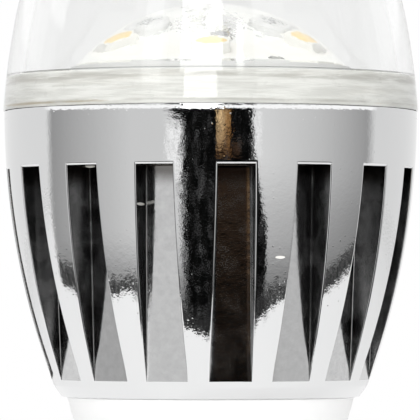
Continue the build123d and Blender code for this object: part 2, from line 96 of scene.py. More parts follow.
FOOT_CHAMFER_Z = SINK_Z + 1.0 * MM
FOOT_ROUND = 0.15 * MM
BARREL_LOW_Z = FOOT_CHAMFER_Z + 0.4 * MM
BARREL_HIGH_Z = RIM_Z - 0.7 * MM
RIM_ROUND = 0.08 * MM
SPIGOT_R = 16.85 * MM
SPIGOT_ROUND = 0.25 * MM
DECK_UNDER_Z = DECK_Z - 2.2 * MM
WIRE_HOLE_R = 2.2 * MM
SECTOR_MERGE = 0.001 * MM

# Attribute that tells how dull the plating is and how much painted shade it gets: 0 bright, 1 dull and a
# darker grey, 2 painted shade deep in the slots
SLOT_SIDE = "slot_side"
DULL_FLOOR = 0.6
# How fast the painted shade deep in a slot's side fades out round the inner corner to the floor's level
CORNER_SHADE_FADE = 1.4
# Painted shade under the slot ceilings: the heights where it fades in, and how far noise moves that fade
CEILING_SHADE_LOW_Z = SLOT_TOP_Z - 1.5 * MM
CEILING_SHADE_HIGH_Z = SLOT_TOP_Z + 0.2 * MM
CEILING_SHADE_CLOUD = 1.2 * MM

# Pale matt spots on the plating, by middle and half size: one beside the middle slot, and one in each of
# two slots on the left
PALE_SPOTS = (
    ((5.98 * MM, -16.17 * MM, 47.8 * MM), (0.5 * MM, 0.5 * MM, 0.14 * MM)),
    ((-6.0 * MM, -15.5 * MM, 52.4 * MM), (1.3 * MM, 1.3 * MM, 0.14 * MM)),
    ((-10.5 * MM, -11.1 * MM, 55.85 * MM), (0.6 * MM, 0.6 * MM, 0.22 * MM)),
)

# Globe and the seal in its skirt
GLOBE_R = GLOBE_HIGH.x
GLOBE_ARC = 64 * MM
GLOBE_ARC_Z = RIM_Z - 3.9 * MM
GLOBE_TIP_R = 5 * MM
GLOBE_WALL = 1.5 * MM
GLOBE_STEPS = 60
GLOBE_RIM_ROUND = 0.06 * MM
SKIRT_INNER_R = 17.15 * MM
SKIRT_TOP_Z = RIM_Z + 3.15 * MM
SKIRT_STEP_ROUND = 0.04 * MM
SEAL_TOP_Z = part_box("globe_seal")[1].z
SEAL_ROUND = 0.05 * MM

# Painted shade in the seal, at its foot and under the skirt's step at its brim: lowest and highest edge, and
# softness
SEAL_FOOT_SHADE = (RIM_Z + 0.3 * MM, RIM_Z + 0.45 * MM, 0.1 * MM)
SEAL_BRIM_SHADE = (RIM_Z + 2.2 * MM, RIM_Z + 2.8 * MM, 0.2 * MM)
SEAL_DRAWN_OUT = (1.0, 1.0, 11.0)

# Dome lens
LENS_LOW, LENS_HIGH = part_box("lens")
BOARD_TOP_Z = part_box("led_board")[1].z
LENS_R = LENS_HIGH.x
LENS_EDGE_Z = BOARD_TOP_Z + 0.3 * MM
LENS_EDGE_ROUND = 0.12 * MM
LENS_DOME_R = 12 * MM
LED_COUNT = 5
LED_RING_R = 7.7 * MM
TRACK_HALF_W = 2.2 * MM
TRACK_EDGE = 0.1 * MM
PEG_COUNT = 3
PEG_ANGLE = math.radians(60)
PEG_RING_R = 11 * MM
PEG_R = 0.7 * MM
PEG_ROUND = 0.15 * MM

# White housing
HOUSING_LOW, HOUSING_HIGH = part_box("base_housing")
COLLAR_LOW_Z = 19.9 * MM
COLLAR_LOW_R = 8.45 * MM
COLLAR_TOP_R = HOUSING_HIGH.x
COLLAR_ROUND = 0.8 * MM
COLLAR_TOP_ROUND = 0.06 * MM
NECK_R = 5.7 * MM
NECK_INNER_R = 4.5 * MM
NECK_SEAT_R = 6.5 * MM
NECK_STEP_LOW_Z = 15.9 * MM
NECK_STEP_HIGH_Z = 16.9 * MM
COLLAR_FLOOR_Z = 21.4 * MM
COLLAR_FLOOR_R = 7.2 * MM
SLEEVE_R = 12.1 * MM
SLEEVE_INNER_R = 10.9 * MM
SLEEVE_TAPER_Z = 33.5 * MM

# Screw cap
SHELL_LOW, SHELL_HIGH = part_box("screw_shell")
SHELL_LIP_R = 4.9 * MM
SHELL_WALL = 0.3 * MM
SHELL_BAND_R = 6.9 * MM
SHELL_BAND_Z = 16.5 * MM
SHELL_FOOT_ROUND = 0.7 * MM
SHELL_FOOT_INNER_ROUND = 0.4 * MM
SHELL_NECK_ROUND = 0.3 * MM
SHELL_BAND_ROUND = 0.5 * MM
SHELL_TOP_ROUND = 0.1 * MM
SHELL_INNER_RISE = 0.1 * MM
THREAD_ROOT_R = 6.16 * MM
THREAD_DEPTH = 6.945 * MM - THREAD_ROOT_R
THREAD_PITCH = 2.822 * MM
THREAD_START_Z = 4.9 * MM
THREAD_END_Z = 15.6 * MM
THREAD_FADE = 1.1 * MM
THREAD_RINGS = 90
RINGS_ABOVE_LIP = 1.0 * MM
RINGS_BELOW_BAND = 0.4 * MM
PIN_R = 0.95 * MM
CONTACT_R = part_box("centre_contact")[1].x
CONTACT_TOP_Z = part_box("centre_contact")[1].z
CONTACT_HEAD_H = 0.95 * MM
CONTACT_TIP_ROUND = 0.57 * MM
CONTACT_EDGE_ROUND = 0.1 * MM
INSULATOR_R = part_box("cap_insulator")[1].x
INSULATOR_TOP_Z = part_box("cap_insulator")[1].z
INSULATOR_FACE_R = CONTACT_R + 0.3 * MM
INSULATOR_LIP_R = SHELL_LIP_R + 0.3 * MM
INSULATOR_LIP_Z = SHELL_LOW.z - 0.4 * MM
INSULATOR_SEAT_Z = SHELL_LOW.z + 0.5 * MM
INSULATOR_FLANGE_Z = SHELL_LOW.z + 0.8 * MM
INSULATOR_BACK_Z = 5.0 * MM
INSULATOR_STEM_R = 2.2 * MM
INSULATOR_ROUND = 0.25 * MM

# Camera, set so that the widest part of the lamp and the horizon fall where the photograph has them
IMAGE_SIZE = 420
FOCAL_PIXELS = 4348
CAMERA_DISTANCE = 390 * MM
CAMERA_Z = 44.1 * MM
CAMERA_X = -0.06 * MM
CAMERA_PITCH = math.radians(1.19)
SENSOR = 36

# Floor, and the edges where mirrors see it end: the way that an edge faces and its distance from the lamp
FLOOR_R = 0.6
FLOOR_FADE = (0.5 * FLOOR_R, 0.98 * FLOOR_R)
SWEEP_EDGES = (
    ((-0.78, -0.626, 0.0), 0.1165),
    ((0.588, -0.809, 0.0), 0.1055),
    ((0.0, -1.0, 0.0), 0.0775),
)
SWEEP_RAGGED = 0.015
SWEEP_SOFT = 0.001
# The band beyond those edges that mirrors see as painted shade: its softness, and its width in front and at
# the sides
SHADE_BAND_SOFT = 0.005
SHADE_BAND_AT_FRONT = 0.014
SHADE_BAND_AT_SIDES = 0.028

# Turns are degrees from the front to the right, and lifts are degrees up from level. A pair is where an
# effect begins and where it is full. A span is its two ends and its softness.
SWEEP_SPAN = (-102.0, 97.0, 2.0)
# Turns where the painted shade band beyond the floor's edge is darkest, and where it widens
SHADE_BAND_DARKEST_SPAN = (-22.0, 34.0, 3.0)
SHADE_BAND_WIDENS = (50.0, 95.0)

# Studio as the plating mirrors it. A wall is a turn and a grey. A patch is its two turns, its two lifts and
# its softness. An edge of the opening is two lifts and the turn at each.
WALLS = (
    (-180, 0.95),
    (-104, 0.95),
    (-99, 0.41),
    (-62, 0.68),
    (-45, 0.82),
    (-26, 0.83),
    (30, 0.91),
    (62, 0.72),
    (97, 0.43),
    (104, 0.9),
    (180, 0.95),
)
SHADED_SPAN = (-100.0, 100.0, 4.0)
LOW_LIGHT_LIFTS = (-31.0, -16.0)
LOWEST_LIGHT = 0.2
RIGHT_SHADE_TURNS = (10.0, 25.0)
RIGHT_SHADE_LIFTS = (-5.0, -18.0)
RIGHT_SHADE = 0.31
LOW_LEFT_TURNS = (-80.0, -95.0)
LOW_LEFT_LIFTS = (-1.0, -12.0)
LOW_LEFT_SLIDE = 4.0
OPENING_LEFT = (-0.5, 1.5, -18.0, -25.0)
OPENING_RIGHT = (-22.0, 0.0, 34.5, 23.0)
OPENING_FRAY = 22.0
FRAYED_EDGE = (11.8, 13.4)
BROWN_SPAN = (12.0, 16.5, 1.5)
BROWN_LIFTS = (-3.0, -4.2)
BROWN_FADES = (-6.4, -3.8)
BRONZE_TURNS = (5.0, 10.0)
BRONZE_LIFTS = (-6.0, 1.0)
RIM_GLOW_TURNS = (-104.0, 104.0, 3.0)
RIM_GLOW_LIFTS = (5.4, 9.0, 0.3)
WHITE_CEILING = (30.0, 40.0)
OVERHEAD = 90.0
SIDE_SOFTNESS = 0.7
GOLD_STRIP = (3.5, 11.0, -5.5, 4.0, 1.0)
GLINTS = ((-25.0, -15.5, -9.0, -0.5, 1.5), (24.0, 28.0, -5.0, 2.0, 3.0))
DARK_CEILING = (-25.0, 25.0, 9.0, OVERHEAD, 1.0)
BRIGHT_STRIPS = (
    (-17.0, 7.0, 15.0, OVERHEAD, 1.0),
    (-15.0, 3.5, 5.6, 16.0, 1.0),
    (15.0, 18.5, 15.0, 23.0, 1.0),
)
FAINT_STRIPS = ((-39.0, -28.0, 12.0, OVERHEAD, 1.0), (-112.0, -96.0, 16.0, OVERHEAD, 1.0))
WHITE_BEHIND = ((-200.0, -112.0, 9.5, OVERHEAD, 1.0), (112.0, 200.0, 9.5, OVERHEAD, 1.0))
Sight = namedtuple("Sight", "way turn bent lift")


# Nodes

def node(tree, kind, inputs=None, **settings):
    """Adds a node, sets its options, and fills its inputs with values or with other nodes' outputs."""
    made = tree.nodes.new(kind)
    for key, value in settings.items():
        setattr(made, key, value)
    for key, value in (inputs or {}).items():
        if isinstance(value, bpy.types.NodeSocket):
            tree.links.new(value, made.inputs[key])
        else:
            made.inputs[key].default_value = value
    return made


def tree_of(*values):
    """The tree that the sockets among some values are in."""
    return next(value.id_data for value in values if isinstance(value, bpy.types.NodeSocket))


def calc(operation, *values, clamp=False):
    """The output of a math node on values or sockets."""
    inputs = dict(enumerate(values))
    made = node(tree_of(*values), "ShaderNodeMath", inputs, operation=operation, use_clamp=clamp)
    return made.outputs[0]


def scaled(value, factor, plus):
    return calc("MULTIPLY_ADD", value, factor, plus)


def product(first, *factors):
    """The product of values or sockets."""
    for factor in factors:
        first = calc("MULTIPLY", first, factor)
    return first


def opposite(mask):
    """A mask with 0 and 1 changed over."""
    return calc("SUBTRACT", 1.0, mask)


def vector_math(operation, *values):
    """The output of a vector math node: a value for a length or a dot product, and otherwise a vector."""
    made = node(tree_of(*values), "ShaderNodeVectorMath", dict(enumerate(values)), operation=operation)
    return made.outputs["Value" if operation in ("LENGTH", "DOT_PRODUCT") else "Vector"]


def ramp(value, low, high, from_value=0.0, to_value=1.0):
    """A smooth step of a value from low to high, mapped to a range."""
    inputs = {"Value": value, "From Min": low, "From Max": high, "To Min": from_value, "To Max": to_value}
    made = node(tree_of(value), "ShaderNodeMapRange", inputs, interpolation_type="SMOOTHSTEP")
    return made.outputs["Result"]


def window(value, low, high, soft):
    """1 while a value is between two limits, with soft edges."""
    rising = ramp(value, low - soft, low + soft)
    falling = ramp(value, high + soft, high - soft)
    return product(rising, falling)


def mix(factor, first, second):
    """The colour that a mix node gives."""
    inputs = {0: factor, 6: first, 7: second}
    return node(tree_of(factor), "ShaderNodeMix", inputs, data_type="RGBA").outputs[2]


def noise(vector, scale, detail=2.0, rough=0.5):
    """The value of a noise texture on a vector."""
    inputs = {"Vector": vector, "Scale": scale, "Detail": detail, "Roughness": rough}
    return node(tree_of(vector), "ShaderNodeTexNoise", inputs).outputs["Fac"]


def object_place(tree):
    return node(tree, "ShaderNodeTexCoord").outputs["Object"]


def split(vector):
    return node(tree_of(vector), "ShaderNodeSeparateXYZ", {"Vector": vector}).outputs


def axis_distance(parts):
    """Distance from the lamp's axis."""
    squares = [calc("POWER", parts[axis], 2.0) for axis in "XY"]
    return calc("SQRT", calc("ADD", *squares))


def turn_from_front(parts):
    """Degrees round the axis from the front, growing to the right."""
    return calc("DEGREES", calc("ARCTAN2", parts["X"], product(parts["Y"], -1.0)))


def rgba(red, green, blue):
    return (red, green, blue, 1.0)


def grey(level):
    return (level, level, level, 1.0)


# Effects that several materials share

def group_tree(name, inputs, outputs):
    """A shader group with float inputs and outputs, what it is given, and where its results go."""
    tree = bpy.data.node_groups.new(name, "ShaderNodeTree")
    for label, default in inputs.items():
        socket = tree.interface.new_socket(label, in_out="INPUT", socket_type="NodeSocketFloat")
        socket.default_value = default
    for label in outputs:
        tree.interface.new_socket(label, in_out="OUTPUT", socket_type="NodeSocketFloat")
    return tree, tree.nodes.new("NodeGroupInput").outputs, tree.nodes.new("NodeGroupOutput").inputs


def make_grain_group():
    """A soft uneven grain: broad patches and a fine height, for mouldings, coatings and castings."""
    inputs = {"Scale": 800.0, "Patch Scale": 90.0, "Detail": 3.0}
    tree, given, result = group_tree("surface_grain", inputs, ("Height", "Patches"))
    place = object_place(tree)
    tree.links.new(noise(place, given["Scale"], given["Detail"], rough=0.6), result["Height"])
    tree.links.new(noise(place, given["Patch Scale"], detail=4.0, rough=0.55), result["Patches"])
    return tree


def make_speck_group():
    """Small scattered specks: dust, pits and rub marks."""
    inputs = {"Scale": 500.0, "Size": 0.12, "Share": 0.3}
    tree, given, result = group_tree("scattered_specks", inputs, ("Specks",))
    scattered = {"Vector": object_place(tree), "Scale": given["Scale"]}
    cells = node(tree, "ShaderNodeTexVoronoi", scattered).outputs
    chance = node(tree, "ShaderNodeSeparateColor", {"Color": cells["Color"]}).outputs["Red"]
    kept = calc("LESS_THAN", chance, given["Share"])
    size = product(given["Size"], calc("ADD", chance, 0.6))
    edge = calc("SUBTRACT", 1.0, calc("DIVIDE", cells["Distance"], size), clamp=True)
    tree.links.new(product(edge, kept), result["Specks"])
    return tree


def make_turning_group():
    """Fine rings round the axis, as turning, spinning or rolling leaves them."""
    inputs = {"Pitch Scale": 6000.0, "Waver": 200.0}
    tree, given, result = group_tree("turning_lines", inputs, ("Lines",))
    place = object_place(tree)
    parts = split(place)
    drift = product(noise(place, given["Waver"]), 0.2 * MM)
    along = {"X": axis_distance(parts), "Y": drift, "Z": parts["Z"]}
    line = node(tree, "ShaderNodeCombineXYZ", along).outputs["Vector"]
    tree.links.new(noise(line, given["Pitch Scale"], detail=2.0, rough=0.7), result["Lines"])
    return tree


GRAIN = make_grain_group()
SPECKS = make_speck_group()
TURNING = make_turning_group()


def effect(tree, group, **values):
    """Places a shared effect in a material; spaces in its input names are written as underscores."""
    made = node(tree, "ShaderNodeGroup", node_tree=group)
    for key, value in values.items():
        made.inputs[key.replace("_", " ")].default_value = value
    return made.outputs


# Finishes

def start_material(name, **constants):
    """A material with one principled shader, and its constant values set by socket name."""
    made = bpy.data.materials.new(name)
    made.use_nodes = True
    tree = made.node_tree
    shader = tree.nodes["Principled BSDF"]
    for key, value in constants.items():
        shader.inputs[key.replace("_", " ")].default_value = value
    return made, tree, shader


def feed(shader, socket, value):
    tree_of(value).links.new(value, shader.inputs[socket])


def bump(shader, height, strength, distance):
    """Feeds a height to the shader's normal."""
    inputs = {"Height": height, "Strength": strength, "Distance": distance}
    feed(shader, "Normal", node(tree_of(height), "ShaderNodeBump", inputs).outputs["Normal"])


def two_tone(grain, dark, light):
    """Patches between two close colours."""
    return mix(grain["Patches"], rgba(*dark), rgba(*light))


def uneven_gloss(shader, grain, smooth, rough):
    """Roughness that follows the height of a grain."""
    feed(shader, "Roughness", ramp(grain["Height"], 0.3, 0.7, smooth, rough))


def mix_surface(factor, first, second):
    """Ends a material or the world in a mix of two shaders."""
    tree = tree_of(factor)
    mixed = node(tree, "ShaderNodeMixShader", {0: factor, 1: first, 2: second}).outputs["Shader"]
    end = tree.nodes.get("Material Output") or tree.nodes["World Output"]
    tree.links.new(mixed, end.inputs["Surface"])


def moulded(name, dark, light, rough, scale=900.0, patch=120.0, relief=0.01):
    """A moulded or coated finish: patches between two close colours, a fine grain, a few specks."""
    made, tree, shader = start_material(name)
    grain = effect(tree, GRAIN, Scale=scale, Patch_Scale=patch)
    specks = effect(tree, SPECKS, Scale=scale * 0.6)["Specks"]
    color = two_tone(grain, dark, light)
    feed(shader, "Base Color", mix(product(specks, 0.25), color, grey(0.02)))
    uneven_gloss(shader, grain, *rough)
    bump(shader, grain["Height"], 0.3, relief * MM)
    return made


def metal(name, dark, light, rough, metallic=1.0):
    """A bare or plated metal with turning lines, dull patches and brown specks."""
    made, tree, shader = start_material(name, Metallic=metallic)
    lines = effect(tree, TURNING, Pitch_Scale=6000.0)["Lines"]
    grain = effect(tree, GRAIN, Scale=700.0, Patch_Scale=160.0)
    specks = effect(tree, SPECKS, Scale=420.0)["Specks"]
    color = two_tone(grain, dark, light)
    spotted = mix(product(specks, 0.4), color, rgba(0.12, 0.1, 0.08))
    feed(shader, "Base Color", spotted)
    feed(shader, "Roughness", ramp(grain["Patches"], 0.35, 0.65, *rough))
    bump(shader, lines, 0.35, 0.004 * MM)
    return made


def pale_spot_mask(place):
    """1 on the pale matt spots of the plating."""
    pale_spots = 0.0
    for centre, size in PALE_SPOTS:
        away = vector_math("DIVIDE", vector_math("SUBTRACT", place, centre), size)
        spot = ramp(vector_math("LENGTH", away), 1.0, 0.8)
        pale_spots = calc("MAXIMUM", pale_spots, spot)
    return pale_spots


def chrome_plating():
    """Bright plating over a cast skin: a mirror with a faint orange peel, a fine grain and small specks. The
    plating is dull, dusty and a darker grey on the sides of the slots; painted shade darkens those sides
    deep down and under the slot ceilings."""
    made, tree, shader = start_material("chrome_plating", Metallic=1.0)
    place = object_place(tree)
    peel = effect(tree, GRAIN, Scale=700.0, Patch_Scale=180.0, Detail=0.0)
    cast = effect(tree, GRAIN, Scale=2200.0, Patch_Scale=500.0, Detail=2.0)
    fine = effect(tree, GRAIN, Scale=6500.0, Patch_Scale=1500.0, Detail=1.0)
    specks = effect(tree, SPECKS, Scale=330.0, Size=0.10, Share=0.16)["Specks"]
    dust = effect(tree, SPECKS, Scale=1500.0, Size=0.3, Share=0.05)["Specks"]
    bumps = effect(tree, SPECKS, Scale=1900.0, Size=0.24, Share=0.35)["Specks"]
    side = node(tree, "ShaderNodeAttribute", attribute_name=SLOT_SIDE).outputs["Fac"]
    dull = calc("MINIMUM", side, 1.0)
    # Painted shade deep in the slot sides, where the level passes 1: blotches of near-black grey
    deep_shade = calc("SUBTRACT", side, 1.0, clamp=True)
    blotch = ramp(cast["Patches"], 0.42, 0.62)
    pale_spots = pale_spot_mask(place)

    bright = two_tone(peel, (0.68, 0.685, 0.69), (0.71, 0.71, 0.71))
    marked = mix(product(specks, 0.5), bright, rgba(0.3, 0.28, 0.25))
    darkened = mix(fine["Patches"], grey(0.45), grey(0.70))
    shaded_sides = mix(deep_shade, darkened, mix(blotch, grey(0.02), grey(0.17)))
    dusty = mix(dust, shaded_sides, grey(0.6))
    plated = mix(dull, marked, dusty)
    # Painted shade under the slot ceilings: a dark brown that fades downwards, on the slot sides and floors
    cloudy = scaled(peel["Patches"], CEILING_SHADE_CLOUD, split(place)["Z"])
    under_ceiling = ramp(cloudy, CEILING_SHADE_LOW_Z, CEILING_SHADE_HIGH_Z, 0.0, 0.75)
    ceiling_shade = product(under_ceiling, calc("GREATER_THAN", side, 0.3))
    with_ceiling_shade = mix(ceiling_shade, plated, rgba(0.05, 0.04, 0.03))
    feed(shader, "Base Color", mix(pale_spots, with_ceiling_shade, rgba(0.80, 0.785, 0.74)))
    feed(shader, "Metallic", opposite(pale_spots))

    smooth = ramp(fine["Patches"], 0.3, 0.75, 0.01, 0.03)
    worn = product(dull, scaled(blotch, 0.08, 0.12))
    feed(shader, "Roughness", calc("ADD", worn, smooth))

    height = product(fine["Height"], 0.35)
    shown_bumps = product(bumps, calc("LESS_THAN", side, 0.05))
    for layer, share in ((peel["Height"], 0.4), (cast["Height"], 1.2), (shown_bumps, 1.2)):
        height = scaled(layer, share, height)
    pits = calc("ADD", product(dust, dull), specks)
    bump(shader, calc("SUBTRACT", height, pits), 1.0, 0.004 * MM)
    return made


def clear_moulding(name, tint, haze, scale, relief):
    """Clear moulded plastic with faint flow waves, which lets lamp light through to what is inside."""
    made, tree, shader = start_material(name, IOR=1.49, Transmission_Weight=1.0)
    flow = effect(tree, GRAIN, Scale=scale, Patch_Scale=60.0)
    feed(shader, "Base Color", mix(flow["Patches"], rgba(*tint), grey(haze)))
    feed(shader, "Roughness", ramp(flow["Patches"], 0.3, 0.8, 0.0, 0.02))
    bump(shader, flow["Height"], 0.2, relief * MM)
    shadow = node(tree, "ShaderNodeLightPath").outputs["Is Shadow Ray"]
    through = node(tree, "ShaderNodeBsdfTransparent", {"Color": rgba(*tint)}).outputs["BSDF"]
    mix_surface(shadow, shader.outputs["BSDF"], through)
    return made


def milky_sealant():
    """Cured milky adhesive behind the skirt, drawn out in streaks round the lamp, brown in places, with
    painted shade at its foot and at its brim under the skirt's step.
    """
    made, tree, shader = start_material("sealant")
    grain = effect(tree, GRAIN, Scale=900.0, Patch_Scale=130.0)
    place = object_place(tree)
    drawn = vector_math("MULTIPLY", place, SEAL_DRAWN_OUT)
    streaks = ramp(noise(drawn, 170.0, 5.0, 0.6), 0.35, 0.68)
    stains = ramp(noise(drawn, 90.0, 5.0, 0.65), 0.52, 0.62, 0.0, 0.5)
    up = split(place)["Z"]
    foot = window(up, *SEAL_FOOT_SHADE)
    brim = window(up, *SEAL_BRIM_SHADE)
    # Painted shade: between the streaks, the seal goes a darker grey at its foot and brim
    darkened = product(calc("MAXIMUM", foot, brim), opposite(streaks))
    milky = mix(streaks, rgba(0.73, 0.73, 0.69), rgba(0.91, 0.91, 0.87))
    seal_with_shade = mix(darkened, milky, rgba(0.58, 0.57, 0.53))
    brown = calc("MULTIPLY", stains, scaled(foot, 1.4, 0.1), clamp=True)
    feed(shader, "Base Color", mix(brown, seal_with_shade, rgba(0.42, 0.32, 0.18)))
    uneven_gloss(shader, grain, 0.25, 0.5)
    bump(shader, streaks, 0.5, 0.05 * MM)
    return made


def diode_board_mask():
    """White solder mask over copper: a ring of pads shows as a slightly raised, warmer track."""
    made, tree, shader = start_material("white_board")
    grain = effect(tree, GRAIN, Scale=1400.0, Patch_Scale=200.0)
    parts = split(object_place(tree))
    from_track = calc("ABSOLUTE", calc("SUBTRACT", axis_distance(parts), LED_RING_R))
    track = ramp(from_track, TRACK_HALF_W + TRACK_EDGE, TRACK_HALF_W)
    turn = product(calc("ARCTAN2", parts["Y"], parts["X"]), LED_COUNT)
    gap = ramp(calc("SINE", turn), 0.975, 0.99)
    copper = product(track, opposite(gap))
    plain = two_tone(grain, (0.85, 0.85, 0.835), (0.89, 0.89, 0.875))
    feed(shader, "Base Color", mix(copper, plain, rgba(0.86, 0.85, 0.82)))
    uneven_gloss(shader, grain, 0.3, 0.42)
    bump(shader, scaled(grain["Height"], 0.1, copper), 0.5, 0.03 * MM)
    return made


def phosphor_filling():
    """Soft yellow filling with a fine uneven grain."""
    made, tree, shader = start_material("phosphor")
    grain = effect(tree, GRAIN, Scale=2600.0, Patch_Scale=700.0)
    feed(shader, "Base Color", two_tone(grain, (0.84, 0.62, 0.28), (0.87, 0.70, 0.38)))
    uneven_gloss(shader, grain, 0.25, 0.4)
    bump(shader, grain["Height"], 0.4, 0.01 * MM)
    return made


def winding_tape():
    """Yellow film tape with the turns of wire showing under it."""
    made, tree, shader = start_material("winding_tape")
    grain = effect(tree, GRAIN, Scale=900.0, Patch_Scale=150.0)
    wave = {"Vector": object_place(tree), "Scale": 900.0, "Distortion": 0.6}
    turns = node(tree, "ShaderNodeTexWave", wave).outputs["Fac"]
    feed(shader, "Base Color", two_tone(grain, (0.72, 0.50, 0.06), (0.86, 0.66, 0.12)))
    uneven_gloss(shader, grain, 0.15, 0.3)
    bump(shader, turns, 0.3, 0.03 * MM)
    return made


# Finishes by slot: darker and lighter colour, range of roughness, and where they differ from the usual ones
# the scale of the grain, the scale of the patches and the depth of the grain in mm
MOULDED = {
    "white_housing": ((0.84, 0.84, 0.835), (0.88, 0.88, 0.875), (0.3, 0.42)),
    "thermal_filler": ((0.36, 0.37, 0.40), (0.46, 0.47, 0.50), (0.7, 0.85)),
    "diode_package": ((0.82, 0.81, 0.78), (0.86, 0.85, 0.82), (0.4, 0.5), 2400.0),
    "black_insulation": ((0.012, 0.012, 0.013), (0.025, 0.025, 0.027), (0.35, 0.5)),
    "white_insulation": ((0.66, 0.66, 0.63), (0.76, 0.76, 0.73), (0.35, 0.5)),
    "green_board": ((0.02, 0.10, 0.035), (0.035, 0.15, 0.055), (0.25, 0.4), 1600.0),
    "ferrite": ((0.012, 0.012, 0.013), (0.035, 0.035, 0.037), (0.6, 0.8), 2200.0, 300.0, 0.03),
    "bobbin_plastic": ((0.010, 0.010, 0.011), (0.02, 0.02, 0.021), (0.35, 0.5)),
    "can_sleeve": ((0.010, 0.012, 0.035), (0.018, 0.02, 0.05), (0.2, 0.3)),
    "film_case": ((0.42, 0.22, 0.015), (0.55, 0.30, 0.03), (0.25, 0.4)),
    "package_black": ((0.008, 0.008, 0.009), (0.02, 0.02, 0.021), (0.5, 0.65), 2600.0),
    "resistor_coat": ((0.07, 0.12, 0.15), (0.11, 0.17, 0.2), (0.2, 0.35)),
    "cap_insulator": ((0.006, 0.006, 0.007), (0.016, 0.016, 0.017), (0.12, 0.25)),
}

# Darker and lighter colour, range of roughness, and how metallic it is where it has a thin dull coat
METALS = {
    "screw_steel": ((0.80, 0.80, 0.80), (0.88, 0.88, 0.88), (0.45, 0.6), 0.3),
    "solder": ((0.50, 0.50, 0.51), (0.66, 0.66, 0.66), (0.15, 0.35)),
    "cap_nickel": ((0.56, 0.54, 0.50), (0.68, 0.66, 0.62), (0.14, 0.3)),
    "contact_metal": ((0.60, 0.55, 0.45), (0.70, 0.66, 0.56), (0.18, 0.34)),
}

# Tint, grey of the haze, scale of the flow waves and their depth in mm
CLEAR = {
    "clear_cover": ((0.93, 0.935, 0.93), 0.95, 140.0, 0.002),
    "clear_lens": ((0.985, 0.985, 0.98), 0.98, 500.0, 0.9),
}


def make_materials():
    """One finish for each material slot of the lamp."""
    made = {
        "chrome_plating": chrome_plating(),
        "sealant": milky_sealant(),
        "white_board": diode_board_mask(),
        "phosphor": phosphor_filling(),
        "winding_tape": winding_tape(),
    }
    for make, rows in ((moulded, MOULDED), (metal, METALS), (clear_moulding, CLEAR)):
        for slot, values in rows.items():
            made[slot] = make(slot, *values)
    return made


MATERIALS = make_materials()


# Shapes

def spread(start, end, steps):
    """Evenly spaced values, both ends included."""
    return [start + (end - start) * step / steps for step in range(steps + 1)]


def arc(centre, radius, start, end, steps):
    """Points along an arc in the radius and height plane, angles in radians from outwards."""
    angles = spread(start, end, steps)
    return [(centre[0] + radius * math.cos(turn), centre[1] + radius * math.sin(turn)) for turn in angles]


def soften(corners, steps=6):
    """A closed outline from corners given as radius, height and, where it is rounded, the rounding."""
    points = [complex(*corner[:2]) for corner in corners]
    outline = []
    for number, corner in enumerate(corners):
        if len(corner) == 2:
            outline.append(corner)
            continue
        here, rounding = points[number], corner[2]
        ways = [points[number - 1] - here, points[(number + 1) % len(points)] - here]
        back, on = [way / abs(way) for way in ways]
        half = abs(phase(on / back)) / 2
        centre = here + (back + on) / abs(back + on) * rounding / math.sin(half)
        first, last = [phase(here + way * rounding / math.tan(half) - centre) for way in (back, on)]
        turn = (last - first + math.pi) % (2 * math.pi) - math.pi
        outline += arc((centre.real, centre.imag), rounding, first, first + turn, steps)
    return outline


def add_patch(mesh, rows, layer=None, levels=None):
    """Adds a grid of points to a mesh as quads, with a level for each column on a layer of face corners.
    Points that meet other patches are merged afterwards."""
    grid = [[mesh.verts.new(point) for point in row] for row in rows]
    for row in range(len(grid) - 1):
        for column in range(len(grid[row]) - 1):
            places = ((row, column), (row, column + 1), (row + 1, column + 1), (row + 1, column))
            face = mesh.faces.new([grid[up][across] for up, across in places])
            if levels:
                for loop, (_, across) in zip(face.loops, places):
                    loop[layer] = levels[across]


def close_up(mesh):
    """Merges doubled points and turns every face outwards."""
    bmesh.ops.remove_doubles(mesh, verts=mesh.verts, dist=MERGE)
    bmesh.ops.dissolve_degenerate(mesh, edges=mesh.edges, dist=MERGE)
    bmesh.ops.recalc_face_normals(mesh, faces=mesh.faces)


def new_piece(name, mesh):
    """An object at the origin from a finished bmesh."""
    data = bpy.data.meshes.new(name)
    mesh.to_mesh(data)
    mesh.free()
    made = bpy.data.objects.new(name, data)
    bpy.context.scene.collection.objects.link(made)
    return made


def bake_modifiers(piece):
    """Turns a piece and its modifiers into a plain mesh."""
    graph = bpy.context.evaluated_depsgraph_get()
    result = bpy.data.meshes.new_from_object(piece.evaluated_get(graph), depsgraph=graph)
    result.name = piece.name
    piece.modifiers.clear()
    piece.data = result


def shade(piece, sharp_angle=25.0):
    """Smooth faces that break at sharp edges, with flats kept flat beside small roundings."""
    for face in piece.data.polygons:
        face.use_smooth = True
    piece.data.set_sharp_from_angle(angle=math.radians(sharp_angle))
    weights = piece.modifiers.new("flats", "WEIGHTED_NORMAL")
    weights.keep_sharp = True
    bake_modifiers(piece)


def lathe_mesh(outline, segments):
    """A closed outline turned about the lamp axis."""
    mesh = bmesh.new()
    rows = []
    for angle in spread(0.0, 2 * math.pi, segments):
        rows.append([(r * math.cos(angle), r * math.sin(angle), z) for r, z in outline + outline[:1]])
    add_patch(mesh, rows)
    close_up(mesh)
    return mesh


def install(piece, slot, *nodes):
    """Gives a finished piece its material and puts it in the place of the solids that it stands for."""
    piece.data.materials.clear()
    piece.data.materials.append(MATERIALS[slot])
    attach(piece, ROOT)
    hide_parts(*nodes)


def turned_piece(name, outline, segments, slot, solid):
    """A piece turned about the lamp's axis in the place of a solid."""
    piece = new_piece(name, lathe_mesh(outline, segments))
    shade(piece)
    install(piece, slot, solid)


